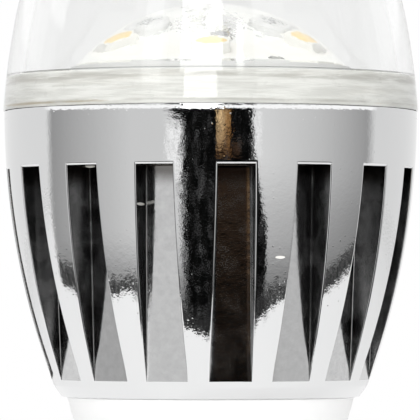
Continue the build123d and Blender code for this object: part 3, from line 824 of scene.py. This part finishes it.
def geometry_tree(name, inputs):
    """A geometry tree with named inputs of given kinds, and what it is given."""
    tree = bpy.data.node_groups.new(name, "GeometryNodeTree")
    tree.interface.new_socket("Geometry", in_out="INPUT", socket_type="NodeSocketGeometry")
    for label, kind in inputs.items():
        tree.interface.new_socket(label, in_out="INPUT", socket_type=kind)
    tree.interface.new_socket("Geometry", in_out="OUTPUT", socket_type="NodeSocketGeometry")
    return tree, tree.nodes.new("NodeGroupInput").outputs


def geometry_node(tree, kind, **inputs):
    """The first output of a geometry node; spaces in its input names are written as underscores."""
    return node(tree, kind, {key.replace("_", " "): value for key, value in inputs.items()}).outputs[0]


def end_tree(tree, geometry, finish):
    """Ends a geometry tree in a plain mesh with its finish."""
    real = geometry_node(tree, "GeometryNodeRealizeInstances", Geometry=geometry)
    plated = geometry_node(tree, "GeometryNodeSetMaterial", Geometry=real, Material=finish)
    tree.links.new(plated, tree.nodes.new("NodeGroupOutput").inputs["Geometry"])


def run_tree(piece, tree, values):
    """Runs a geometry tree on a piece, with its inputs set by identifier, and keeps the resulting mesh."""
    modifier = piece.modifiers.new(tree.name, "NODES")
    modifier.node_group = tree
    for socket in tree.interface.items_tree:
        if socket.in_out == "INPUT" and socket.name in values:
            modifier[socket.identifier] = values[socket.name]
    bake_modifiers(piece)


# Heat sink

def barrel_radius(z):
    """Radius of the heat sink's side at a height."""
    return BODY_R - BARREL_ARC + math.sqrt(BARREL_ARC**2 - (RIM_Z - z) ** 2)


def slot_half_width(z):
    share = (SLOT_TOP_Z - z) / (SLOT_TOP_Z - SLOT_FOOT_Z)
    return (SLOT_TOP_W + (SLOT_FOOT_W - SLOT_TOP_W) * share) / 2


def slot_floor_x(z):
    """Distance of the slot's flat floor from the axis; it leans outwards towards the top."""
    share = (z - SLOT_FOOT_Z) / (SLOT_TOP_Z - SLOT_FOOT_Z)
    return SLOT_FOOT_FLOOR + (SLOT_TOP_FLOOR - SLOT_FOOT_FLOOR) * share


def slot_depth(z):
    return math.sqrt(barrel_radius(z) ** 2 - slot_half_width(z) ** 2) - slot_floor_x(z)


def mouth_edge(z, turn):
    """A point of the rounded slot edge at a height: turn 0 is on the barrel, 1 on the slot's flat side."""
    rounding = min(EDGE_ROUND, EDGE_ROUND_SHARE * slot_depth(z))
    y = slot_half_width(z) + rounding
    x = math.sqrt((barrel_radius(z) - rounding) ** 2 - y**2)
    start = math.atan2(y, x)
    angle = start - (start + math.pi / 2) * turn
    return x + rounding * math.cos(angle), y + rounding * math.sin(angle)


def mouth_angle(z):
    x, y = mouth_edge(z, 0.0)
    return math.atan2(y, x)


def ceiling_z(depth):
    """Height of the slot's ceiling from its rounded edge to its rounded inner corner."""
    edge = CEILING_ROUND * (1 - math.sin(min(depth, 1.0) * math.pi / 2))
    corner = CORNER_ROUND * (1 - math.cos(max(depth - 2.0, 0.0) * math.pi / 2))
    return SLOT_TOP_Z + edge - corner


def side_point(share, depth):
    """A point on a slot's side, a share of the way up. Depth 0 to 1 goes over the rounded edge, 1 to 2 along
    the flat side, and 2 to 3 round the inner corner to the floor."""
    z = SLOT_FOOT_Z + share * (ceiling_z(depth) - SLOT_FOOT_Z)
    x, y = mouth_edge(z, min(depth, 1.0))
    if depth <= 1.0:
        return (x, y, z)
    rounding = min(CORNER_ROUND, CORNER_ROUND_SHARE * slot_depth(z))
    corner_x = slot_floor_x(z) + rounding
    if depth <= 2.0:
        return (x + (corner_x - x) * (depth - 1.0), y, z)
    angle = (depth - 2.0) * math.pi / 2
    return (corner_x - rounding * math.sin(angle), y - rounding * (1 - math.cos(angle)), z)


def wall_level(depth):
    """How dull a slot's side is and how much painted shade it gets: dull at the mouth, painted shade deep
    down, fading out round the inner corner to the floor's level.
    """
    return min(depth, 2.0) - CORNER_SHADE_FADE * max(depth - 2.0, 0.0)


def end_point(across, share, depth):
    """A point on a slot's ceiling, share 1, or on the small ledge at its foot, share 0."""
    edge_x, edge_y, z = side_point(share, depth)
    y = across * edge_y
    if depth <= 1.0:
        return (math.sqrt(edge_x**2 + edge_y**2 - y**2), y, z)
    lip_x, lip_y, _ = side_point(share, 1.0)
    floor = slot_floor_x(z)
    start = math.sqrt(lip_x**2 + lip_y**2 - y**2)
    return (floor + (start - floor) * (edge_x - floor) / (lip_x - floor), y, z)


def floor_point(across, share):
    """A point on a slot's flat floor."""
    x, y, z = side_point(share, 3.0)
    return (x, across * y, z)


def barrel_angle(column, edge_angle):
    """Angle of a column of the barrel: -1 to 1 spans the slot, and 1 to 2 the rib up to the next sector."""
    inside = max(-1.0, min(1.0, column))
    return math.asin(inside * math.sin(edge_angle)) + (column - inside) * (SECTOR / 2 - edge_angle)


def ring_row(radius, z, columns, edge_angle):
    """A row of points round the axis, in columns that follow the slot's edge."""
    angles = [barrel_angle(column, edge_angle) for column in columns]
    return [(radius * math.cos(angle), radius * math.sin(angle), z) for angle in angles]


def barrel_row(z, columns, edge_angle):
    return ring_row(barrel_radius(z), z, columns, edge_angle)


# Lines of the sector's grid: across a slot and its ribs, up a slot, over its edge, down its side, above it
ACROSS = spread(-1.0, 1.0, 8)
RIB = [1.0, 1.04, 1.15, 1.35, 1.6, 1.82, 2.0]
COLUMNS = [-column for column in reversed(RIB)] + ACROSS[1:-1] + RIB
SHARES = [0.0, 0.01, 0.025, 0.05, 0.08, 0.12] + spread(0.17, 0.97, 20) + [0.99, 1.0]
EDGE = spread(0.0, 1.0, 7)
SIDE = [1.0, 1.03, 1.4, 1.97] + spread(2.0, 3.0, 4)
ABOVE = [0.0, 0.015, 0.05, 0.12] + spread(0.2, 1.0, 6)


def sink_outline():
    """The heat sink's section from the top of its side over the rim, deck and bore to the side's foot."""
    corners = [
        (barrel_radius(BARREL_LOW_Z), BARREL_LOW_Z),
        (BODY_R, BARREL_HIGH_Z),
        (BODY_R, RIM_Z, RIM_ROUND),
        (SPIGOT_R, RIM_Z),
        (SPIGOT_R, DECK_Z, SPIGOT_ROUND),
        (WIRE_HOLE_R, DECK_Z),
        (WIRE_HOLE_R, DECK_UNDER_Z),
        (BORE_R, DECK_UNDER_Z),
        (BORE_R, SINK_Z),
        (FOOT_R, SINK_Z, FOOT_ROUND),
        (barrel_radius(FOOT_CHAMFER_Z), FOOT_CHAMFER_Z, FOOT_ROUND),
    ]
    outline = soften(corners)
    return outline[1:] + outline[:1]


def add_slot(mesh):
    """Adds the rounded edges, sides, ends and floor of a slot, with their dullness and painted shade."""
    dull = mesh.loops.layers.float.new(SLOT_SIDE)
    for way in (-1, 1):
        for depths, finish in ((EDGE, 0.0), (SIDE, 1.0)):
            rows = []
            for share in SHARES:
                points = [side_point(share, depth) for depth in depths]
                rows.append([(x, way * y, z) for x, y, z in points])
            add_patch(mesh, rows, dull, [finish * wall_level(depth) for depth in depths])
    for share in (0.0, 1.0):
        for depths, finish in ((EDGE, 0.0), (SIDE, share)):
            rows = [[end_point(across, share, depth) for depth in depths] for across in ACROSS]
            add_patch(mesh, rows, dull, [finish * min(depth, 2.0) for depth in depths])
    rows = [[floor_point(across, share) for across in ACROSS] for share in SHARES]
    add_patch(mesh, rows, dull, [DULL_FLOOR] * len(ACROSS))


def sink_sector():
    """One sixteenth of the heat sink: a slot in the middle and half a rib on each side of it."""
    mesh = bmesh.new()
    mouth_top = ceiling_z(0.0)
    foot_angle, top_angle = mouth_angle(SLOT_FOOT_Z), mouth_angle(BARREL_HIGH_Z)
    below = spread(BARREL_LOW_Z, SLOT_FOOT_Z, 4)
    add_patch(mesh, [barrel_row(z, COLUMNS, foot_angle) for z in below])
    above = [mouth_top + rise * (BARREL_HIGH_Z - mouth_top) for rise in ABOVE]
    add_patch(mesh, [barrel_row(z, COLUMNS, mouth_angle(z)) for z in above])
    beside = [SLOT_FOOT_Z + share * (mouth_top - SLOT_FOOT_Z) for share in SHARES]
    for way in (-1, 1):
        columns = [way * column for column in RIB]
        add_patch(mesh, [barrel_row(z, columns, mouth_angle(z)) for z in beside])
    add_slot(mesh)
    outline = sink_outline()
    bore_foot = outline.index((BORE_R, SINK_Z))
    rows = []
    for number, (radius, z) in enumerate(outline):
        rows.append(ring_row(radius, z, COLUMNS, top_angle if number < bore_foot else foot_angle))
    add_patch(mesh, rows)
    bmesh.ops.rotate(mesh, verts=mesh.verts, cent=(0, 0, 0), matrix=Matrix.Rotation(SLOT_PHASE, 3, "Z"))
    close_up(mesh)
    return mesh


def slotted_ring_tree():
    """Geometry nodes that repeat a sector round the axis and merge the copies into one body."""
    inputs = {
        "Slot Count": "NodeSocketInt",
        "Merge Distance": "NodeSocketFloat",
        "Plating": "NodeSocketMaterial",
    }
    tree, given = geometry_tree("slotted_ring", inputs)
    count = given["Slot Count"]
    places = geometry_node(tree, "GeometryNodeMeshLine", Count=count, Offset=(0, 0, 0))
    number = geometry_node(tree, "GeometryNodeInputIndex")
    turn = calc("DIVIDE", product(number, 2 * math.pi), count)
    facing = geometry_node(tree, "ShaderNodeCombineXYZ", Z=turn)
    placed = {"Points": places, "Instance": given["Geometry"], "Rotation": facing}
    copies = geometry_node(tree, "GeometryNodeInstanceOnPoints", **placed)
    real = geometry_node(tree, "GeometryNodeRealizeInstances", Geometry=copies)
    joined = {"Geometry": real, "Distance": given["Merge Distance"]}
    end_tree(tree, geometry_node(tree, "GeometryNodeMergeByDistance", **joined), given["Plating"])
    return tree


def make_heat_sink():
    piece = new_piece("heat_sink_plated", sink_sector())
    values = {
        "Slot Count": SLOT_COUNT,
        "Merge Distance": SECTOR_MERGE,
        "Plating": MATERIALS["chrome_plating"],
    }
    run_tree(piece, slotted_ring_tree(), values)
    shade(piece, sharp_angle=16.0)
    install(piece, "chrome_plating", "heat_sink")


# Globe, seal and lens

def globe_side(inset, start_z):
    """The globe's side and tip as two tangent arcs, moved inwards, from a height up to the axis."""
    arc_x = GLOBE_R - math.sqrt(GLOBE_ARC**2 - (RIM_Z - GLOBE_ARC_Z) ** 2)
    reach = GLOBE_ARC - GLOBE_TIP_R
    lean = math.acos(-arc_x / reach)
    centre, tip = (arc_x, GLOBE_ARC_Z), (0.0, GLOBE_ARC_Z + reach * math.sin(lean))
    low = math.asin((start_z - GLOBE_ARC_Z) / (GLOBE_ARC - inset))
    side = arc(centre, GLOBE_ARC - inset, low, lean, GLOBE_STEPS)
    cap = arc(tip, GLOBE_TIP_R - inset, lean, math.pi / 2, GLOBE_STEPS // 3)
    return side + cap[1:-1] + [(0.0, cap[-1][1])]


def make_globe():
    rim_z = RIM_Z + CLEARANCE
    round_z = rim_z + GLOBE_RIM_ROUND
    outside = globe_side(0.0, round_z)
    rim = arc((outside[0][0] - GLOBE_RIM_ROUND, round_z), GLOBE_RIM_ROUND, -math.pi / 2, 0.0, 6)
    inside = globe_side(GLOBE_WALL, SKIRT_TOP_Z)
    step = soften([(SKIRT_INNER_R, rim_z), (SKIRT_INNER_R, SKIRT_TOP_Z, SKIRT_STEP_ROUND), inside[0]])
    outline = rim[:-1] + outside + inside[::-1] + step[::-1][1:]
    turned_piece("globe_clear", outline, 256, "clear_cover", "globe")


def make_globe_seal():
    """The adhesive wets the skirt's inner face, so no air shows between them."""
    low, high = RIM_Z + 2 * CLEARANCE, SEAL_TOP_Z
    inner, outer = SPIGOT_R + CLEARANCE / 2, SKIRT_INNER_R + CLEARANCE / 2
    corners = [(inner, low), (outer, low), (outer, high, SEAL_ROUND), (inner, high, SEAL_ROUND)]
    turned_piece("globe_seal_bead", soften(corners), 192, "sealant", "globe_seal")


def dome(base_r, base_z, top_z, steps):
    """Points of a dome from its edge to the axis."""
    rise = top_z - base_z
    ball = (base_r**2 + rise**2) / (2 * rise)
    points = arc((0.0, top_z - ball), ball, math.acos(base_r / ball), math.pi / 2, steps)
    return points[:-1] + [(0.0, top_z)]


def lens_peg(angle):
    """Rows of points of one of the pegs under the lens."""
    x, y = PEG_RING_R * math.cos(angle), PEG_RING_R * math.sin(angle)
    low, high = LENS_LOW.z, BOARD_TOP_Z + 2 * CLEARANCE
    outline = soften([(0.0, low), (PEG_R, low, PEG_ROUND), (PEG_R, high), (0.0, high)])
    turns = spread(0.0, 2 * math.pi, 24)
    return [[(x + r * math.cos(turn), y + r * math.sin(turn), z) for r, z in outline] for turn in turns]


def make_lens():
    """The dome is cast over the diodes, so it takes in their tops and the board's face without a gap."""
    base = BOARD_TOP_Z - CLEARANCE / 2
    outside = dome(LENS_DOME_R, LENS_EDGE_Z, LENS_HIGH.z, 40)
    edge = soften([(0.0, base), (LENS_R, base), (LENS_R, LENS_EDGE_Z, LENS_EDGE_ROUND), outside[0]])
    mesh = lathe_mesh(edge[:-1] + outside, 192)
    for number in range(PEG_COUNT):
        add_patch(mesh, lens_peg(PEG_ANGLE + 2 * math.pi * number / PEG_COUNT))
    close_up(mesh)
    piece = new_piece("lens_dome", mesh)
    shade(piece)
    install(piece, "clear_lens", "lens")


# Housing and cap

def make_base_housing():
    corners = [
        (NECK_R, HOUSING_LOW.z),
        (NECK_R, NECK_STEP_LOW_Z),
        (NECK_SEAT_R, NECK_STEP_HIGH_Z),
        (NECK_SEAT_R, COLLAR_LOW_Z),
        (COLLAR_LOW_R, COLLAR_LOW_Z, COLLAR_ROUND),
        (COLLAR_TOP_R, SINK_Z - CLEARANCE, COLLAR_TOP_ROUND),
        (SLEEVE_R, SINK_Z - CLEARANCE),
        (SLEEVE_R, HOUSING_HIGH.z),
        (SLEEVE_INNER_R, HOUSING_HIGH.z),
        (SLEEVE_INNER_R, SLEEVE_TAPER_Z),
        (COLLAR_FLOOR_R, COLLAR_FLOOR_Z),
        (NECK_INNER_R, COLLAR_FLOOR_Z),
        (NECK_INNER_R, HOUSING_LOW.z),
    ]
    turned_piece("collar_moulding", soften(corners), 192, "white_housing", "base_housing")


THREAD_SIZES = {
    "Pitch": THREAD_PITCH,
    "Depth": THREAD_DEPTH,
    "Start": THREAD_START_Z,
    "End": THREAD_END_Z,
    "Fade": THREAD_FADE,
}


def rolled_thread_tree():
    """Geometry nodes that press a rolled thread into a plain turned shell."""
    inputs = {label: "NodeSocketFloat" for label in THREAD_SIZES}
    tree, given = geometry_tree("rolled_thread", {**inputs, "Plating": "NodeSocketMaterial"})
    parts = split(geometry_node(tree, "GeometryNodeInputPosition"))
    turn = calc("ARCTAN2", parts["Y"], parts["X"])
    climb = product(calc("DIVIDE", parts["Z"], given["Pitch"]), 2 * math.pi)
    crest = calc("COSINE", calc("SUBTRACT", climb, turn))
    push = product(scaled(crest, 0.5, 0.5), given["Depth"])
    for upper, lower in ((parts["Z"], given["Start"]), (given["End"], parts["Z"])):
        into = calc("DIVIDE", calc("SUBTRACT", upper, lower), given["Fade"])
        push = product(push, ramp(into, 0.0, 1.0))
    across = {"X": product(push, calc("COSINE", turn))}
    across["Y"] = product(push, calc("SINE", turn))
    offset = geometry_node(tree, "ShaderNodeCombineXYZ", **across)
    pressed = geometry_node(tree, "GeometryNodeSetPosition", Geometry=given["Geometry"], Offset=offset)
    end_tree(tree, pressed, given["Plating"])
    return tree


def make_screw_shell():
    low, high = SHELL_LOW.z, SHELL_HIGH.z
    inner_root, inner_band = THREAD_ROOT_R - SHELL_WALL, SHELL_BAND_R - SHELL_WALL
    neck_z = SHELL_BAND_Z - (SHELL_BAND_R - THREAD_ROOT_R)
    rings = spread(low + RINGS_ABOVE_LIP, neck_z - RINGS_BELOW_BAND, THREAD_RINGS)
    corners = [
        (SHELL_LIP_R, low),
        (THREAD_ROOT_R, low, SHELL_FOOT_ROUND),
        *[(THREAD_ROOT_R, z) for z in rings],
        (THREAD_ROOT_R, neck_z, SHELL_NECK_ROUND),
        (SHELL_BAND_R, SHELL_BAND_Z, SHELL_BAND_ROUND),
        (SHELL_BAND_R, high, SHELL_TOP_ROUND),
        (inner_band, high),
        (inner_band, SHELL_BAND_Z + SHELL_INNER_RISE),
        (inner_root, neck_z + SHELL_INNER_RISE),
        *[(inner_root, z) for z in reversed(rings)],
        (inner_root, low + SHELL_WALL, SHELL_FOOT_INNER_ROUND),
        (SHELL_LIP_R, low + SHELL_WALL),
    ]
    piece = new_piece("screw_shell_rolled", lathe_mesh(soften(corners), 144))
    run_tree(piece, rolled_thread_tree(), {**THREAD_SIZES, "Plating": MATERIALS["cap_nickel"]})
    shade(piece, sharp_angle=40.0)
    install(piece, "cap_nickel", "screw_shell")


def make_cap_insulator():
    """The glossy insulator in the end of the cap."""
    lip_z = SHELL_LOW.z - CLEARANCE
    throat_r = SHELL_LIP_R - CLEARANCE
    corners = [
        (PIN_R, CONTACT_HEAD_H),
        (INSULATOR_FACE_R, CONTACT_HEAD_H, INSULATOR_ROUND),
        (INSULATOR_LIP_R, INSULATOR_LIP_Z, INSULATOR_ROUND),
        (INSULATOR_LIP_R, lip_z),
        (throat_r, lip_z),
        (throat_r, INSULATOR_SEAT_Z),
        (INSULATOR_R, INSULATOR_FLANGE_Z),
        (INSULATOR_R, INSULATOR_BACK_Z),
        (INSULATOR_STEM_R, INSULATOR_BACK_Z),
        (INSULATOR_STEM_R, INSULATOR_TOP_Z),
        (PIN_R, INSULATOR_TOP_Z),
    ]
    turned_piece("cap_insulator_glossy", soften(corners), 128, "cap_insulator", "cap_insulator")


def make_centre_contact():
    """The contact's head and its pin through the insulator."""
    pin_r = PIN_R - CLEARANCE
    back_z = CONTACT_HEAD_H - CLEARANCE
    corners = [
        (0.0, 0.0),
        (CONTACT_R, 0.0, CONTACT_TIP_ROUND),
        (CONTACT_R, back_z, CONTACT_EDGE_ROUND),
        (pin_r, back_z),
        (pin_r, CONTACT_TOP_Z),
        (0.0, CONTACT_TOP_Z),
    ]
    turned_piece("centre_contact_rivet", soften(corners), 96, "contact_metal", "centre_contact")


def dress_nodes():
    """Gives every solid the finish of its slot."""
    slots = {part["node"]: part["material_slot"] for part in frame["record"]["subparts"]}
    for name, obj in frame["nodes"].items():
        obj.data.materials.clear()
        obj.data.materials.append(MATERIALS[slots[name]])


# Studio

def make_floor():
    """A pale floor that keeps the lamp's shadow and fades out. Mirrors see it end at the front and at two
    slanted sides, with a band of painted shade beyond those edges."""
    mesh = bmesh.new()
    bmesh.ops.create_circle(mesh, cap_ends=True, segments=128, radius=FLOOR_R)
    floor = new_piece("floor", mesh)
    made, tree, shader = start_material("pale_floor", Roughness=0.9, Specular_IOR_Level=0.1)
    place = object_place(tree)
    turn = turn_from_front(split(place))
    past = -FLOOR_R
    for outwards, distance in SWEEP_EDGES:
        along = vector_math("DOT_PRODUCT", place, outwards)
        past = calc("MAXIMUM", past, calc("SUBTRACT", along, distance))
    uneven = noise(place, 150.0, 5.0, 0.7)
    ragged = scaled(uneven, 2 * SWEEP_RAGGED, -SWEEP_RAGGED)
    inside = ramp(calc("ADD", past, ragged), SWEEP_SOFT, -SWEEP_SOFT)
    shade_band_width = ramp(calc("ABSOLUTE", turn), *SHADE_BAND_WIDENS, SHADE_BAND_AT_FRONT, SHADE_BAND_AT_SIDES)
    past_shade_band = scaled(ragged, 2.0, calc("SUBTRACT", past, shade_band_width))
    gap = ramp(past_shade_band, SHADE_BAND_SOFT, -SHADE_BAND_SOFT)
    mirrored = node(tree, "ShaderNodeLightPath").outputs["Is Glossy Ray"]
    plain = opposite(product(mirrored, window(turn, *SWEEP_SPAN)))

    pale = mix(noise(place, 12.0), grey(0.84), grey(0.88))
    # Painted shade: mirrors see a dark mottled band beyond the floor's edges, darkest in front
    band_shade_grey = mix(window(turn, *SHADE_BAND_DARKEST_SPAN), grey(0.2), grey(0.07))
    mottle = ramp(noise(place, 260.0, 4.0, 0.7), 0.47, 0.66)
    painted_shade_band = mix(mottle, grey(0.01), band_shade_grey)
    feed(shader, "Base Color", mix(calc("MAXIMUM", plain, inside), painted_shade_band, pale))
    out = vector_math("LENGTH", place)
    fade = ramp(out, *FLOOR_FADE, 1.0, 0.0)
    kept = product(fade, calc("MAXIMUM", plain, gap))
    clear = node(tree, "ShaderNodeBsdfTransparent").outputs["BSDF"]
    mix_surface(kept, clear, shader.outputs["BSDF"])
    floor.data.materials.append(made)


def studio_sight(tree):
    """The way that a mirror looks, its turn, the same with uneven edges, and its lift."""
    way = node(tree, "ShaderNodeTexCoord").outputs["Generated"]
    parts = split(way)
    turn = turn_from_front(parts)
    uneven = scaled(noise(way, 30.0, 5.0, 0.7), 5.0, -2.5)
    lift = calc("DEGREES", calc("ARCSINE", parts["Z"]))
    return Sight(way, turn, calc("ADD", turn, uneven), lift)


def seen_at(sight, *patches):
    """1 in patches of the studio."""
    shown = 0.0
    for turn_low, turn_high, lift_low, lift_high, soft in patches:
        across = window(sight.bent, turn_low, turn_high, SIDE_SOFTNESS * soft)
        patch = product(across, window(sight.lift, lift_low, lift_high, soft))
        shown = calc("MAXIMUM", shown, patch)
    return shown


def studio_walls(sight):
    """Grey walls round the lamp, darker low down and on the right, moved a little at the low left."""
    turn, lift = sight.turn, sight.lift
    low_left = product(ramp(turn, *LOW_LEFT_TURNS), ramp(lift, *LOW_LEFT_LIFTS))
    slid = scaled(low_left, LOW_LEFT_SLIDE, turn)
    greys = node(tree_of(turn), "ShaderNodeValToRGB", {"Fac": scaled(slid, 1 / 360, 0.5)})
    stops = greys.color_ramp.elements
    while len(stops) < len(WALLS):
        stops.new(0.5)
    for stop, (angle, level) in zip(stops, WALLS):
        stop.position = angle / 360 + 0.5
        stop.color = grey(level)
    sunk = calc("DIVIDE", lift, calc("COSINE", product(turn, math.radians(0.5))))
    low_light = ramp(sunk, *LOW_LIGHT_LIFTS, LOWEST_LIGHT, 1.0)
    on_right = product(ramp(turn, *RIGHT_SHADE_TURNS), ramp(sunk, *RIGHT_SHADE_LIFTS))
    light = product(low_light, scaled(on_right, -RIGHT_SHADE, 1.0))
    shade_there = product(window(turn, *SHADED_SPAN), opposite(light))
    return mix(shade_there, greys.outputs["Color"], grey(0.0))


def opening_mask(sight):
    """1 in the dark opening at the front, which is frayed on the left and wider low on the right."""
    left_edge = ramp(sight.lift, *OPENING_LEFT)
    right_edge = ramp(sight.lift, *OPENING_RIGHT)
    frayed = scaled(noise(sight.way, 90.0, 4.0, 0.75), OPENING_FRAY, sight.bent)
    past_left = ramp(calc("SUBTRACT", frayed, left_edge), *FRAYED_EDGE)
    before_right = ramp(calc("SUBTRACT", right_edge, sight.bent), -1.0, 1.0)
    return product(past_left, before_right)


def studio_opening(sight, first):
    """What shows in the opening: gloom, and at the first reflection a brown tint and a strip of gold."""
    turn, lift = sight.turn, sight.lift
    swirl = ramp(noise(sight.way, 28.0, 6.0, 0.75), 0.5, 0.7)
    gloom = mix(swirl, grey(0.003), grey(0.11))
    brown = mix(ramp(lift, *BROWN_FADES), grey(0.001), rgba(0.064, 0.038, 0.024))
    tinted = product(window(turn, *BROWN_SPAN), first, ramp(lift, *BROWN_LIFTS))
    warm = mix(tinted, gloom, brown)
    across = ramp(turn, *BRONZE_TURNS)
    bronze = mix(across, rgba(0.98, 0.68, 0.36), rgba(0.42, 0.22, 0.08))
    gold = mix(ramp(lift, *BRONZE_LIFTS), rgba(0.14, 0.07, 0.03), bronze)
    torn = ramp(noise(sight.way, 55.0, 5.0, 0.7), 0.62, 0.46)
    return mix(product(seen_at(sight, GOLD_STRIP), first, torn), warm, gold)


def make_studio():
    """A white studio as mirrors see it: grey walls at the sides, a dark opening in front, white behind. The
    camera and the glass see plain white, and a soft grey lights the rest."""
    world = bpy.data.worlds.new("studio")
    world.use_nodes = True
    bpy.context.scene.world = world
    tree = world.node_tree
    sight = studio_sight(tree)
    path = node(tree, "ShaderNodeLightPath").outputs
    first = calc("LESS_THAN", path["Ray Depth"], 2.5)
    walls, opening = studio_walls(sight), studio_opening(sight, first)
    studio = mix(opening_mask(sight), walls, opening)
    torn = ramp(noise(sight.way, 40.0, 5.0, 0.75), 0.46, 0.52)
    round_rim = window(sight.turn, *RIM_GLOW_TURNS)
    layers = (
        (product(seen_at(sight, *GLINTS), torn), 1.25),
        (seen_at(sight, DARK_CEILING), 0.03),
        (product(round_rim, window(sight.lift, *RIM_GLOW_LIFTS)), 1.35),
        (seen_at(sight, *BRIGHT_STRIPS), 6.0),
        (seen_at(sight, *FAINT_STRIPS), 2.2),
        (seen_at(sight, *WHITE_BEHIND), 1.35),
        (ramp(sight.lift, *WHITE_CEILING), 1.5),
    )
    for mask, level in layers:
        studio = mix(mask, studio, grey(level))
    glows = []
    for color in (studio, grey(1.0), grey(0.5)):
        glows.append(node(tree, "ShaderNodeBackground", {"Color": color}).outputs["Background"])
    mirrored, white, soft = glows
    bounced = node(tree, "ShaderNodeMixShader", {0: path["Is Glossy Ray"], 1: soft, 2: mirrored})
    seen = calc("MAXIMUM", path["Is Camera Ray"], path["Is Transmission Ray"])
    mix_surface(seen, bounced.outputs["Shader"], white)


def add_soft_light(name, place, size, watts):
    """A large soft lamp that aims at the middle of the bulb and isn't seen in the plating."""
    data = bpy.data.lights.new(name, "AREA")
    data.size = size
    data.energy = watts
    lamp = bpy.data.objects.new(name, data)
    lamp.location = place
    lamp.rotation_euler = (MIDDLE - lamp.location).to_track_quat("-Z", "Y").to_euler()
    lamp.visible_glossy = False
    lamp.visible_transmission = False
    bpy.context.scene.collection.objects.link(lamp)


def make_camera():
    data = bpy.data.cameras.new("camera")
    data.sensor_width = SENSOR
    data.lens = FOCAL_PIXELS / IMAGE_SIZE * SENSOR
    data.clip_start = 0.01
    camera = bpy.data.objects.new("camera", data)
    camera.location = (CAMERA_X, -CAMERA_DISTANCE, CAMERA_Z)
    camera.rotation_euler = (math.pi / 2 + CAMERA_PITCH, 0, 0)
    bpy.context.scene.collection.objects.link(camera)
    bpy.context.scene.camera = camera


make_camera()
dress_nodes()
make_heat_sink()
make_globe()
make_globe_seal()
make_lens()
make_base_housing()
make_screw_shell()
make_cap_insulator()
make_centre_contact()
make_floor()
make_studio()
add_soft_light("top_light", place=(-0.08, -0.12, 0.8), size=0.5, watts=5.9)
add_soft_light("front_light", place=(-0.02, -0.8, 0.1), size=0.5, watts=4.0)
bpy.context.scene.view_settings.view_transform = "Standard"
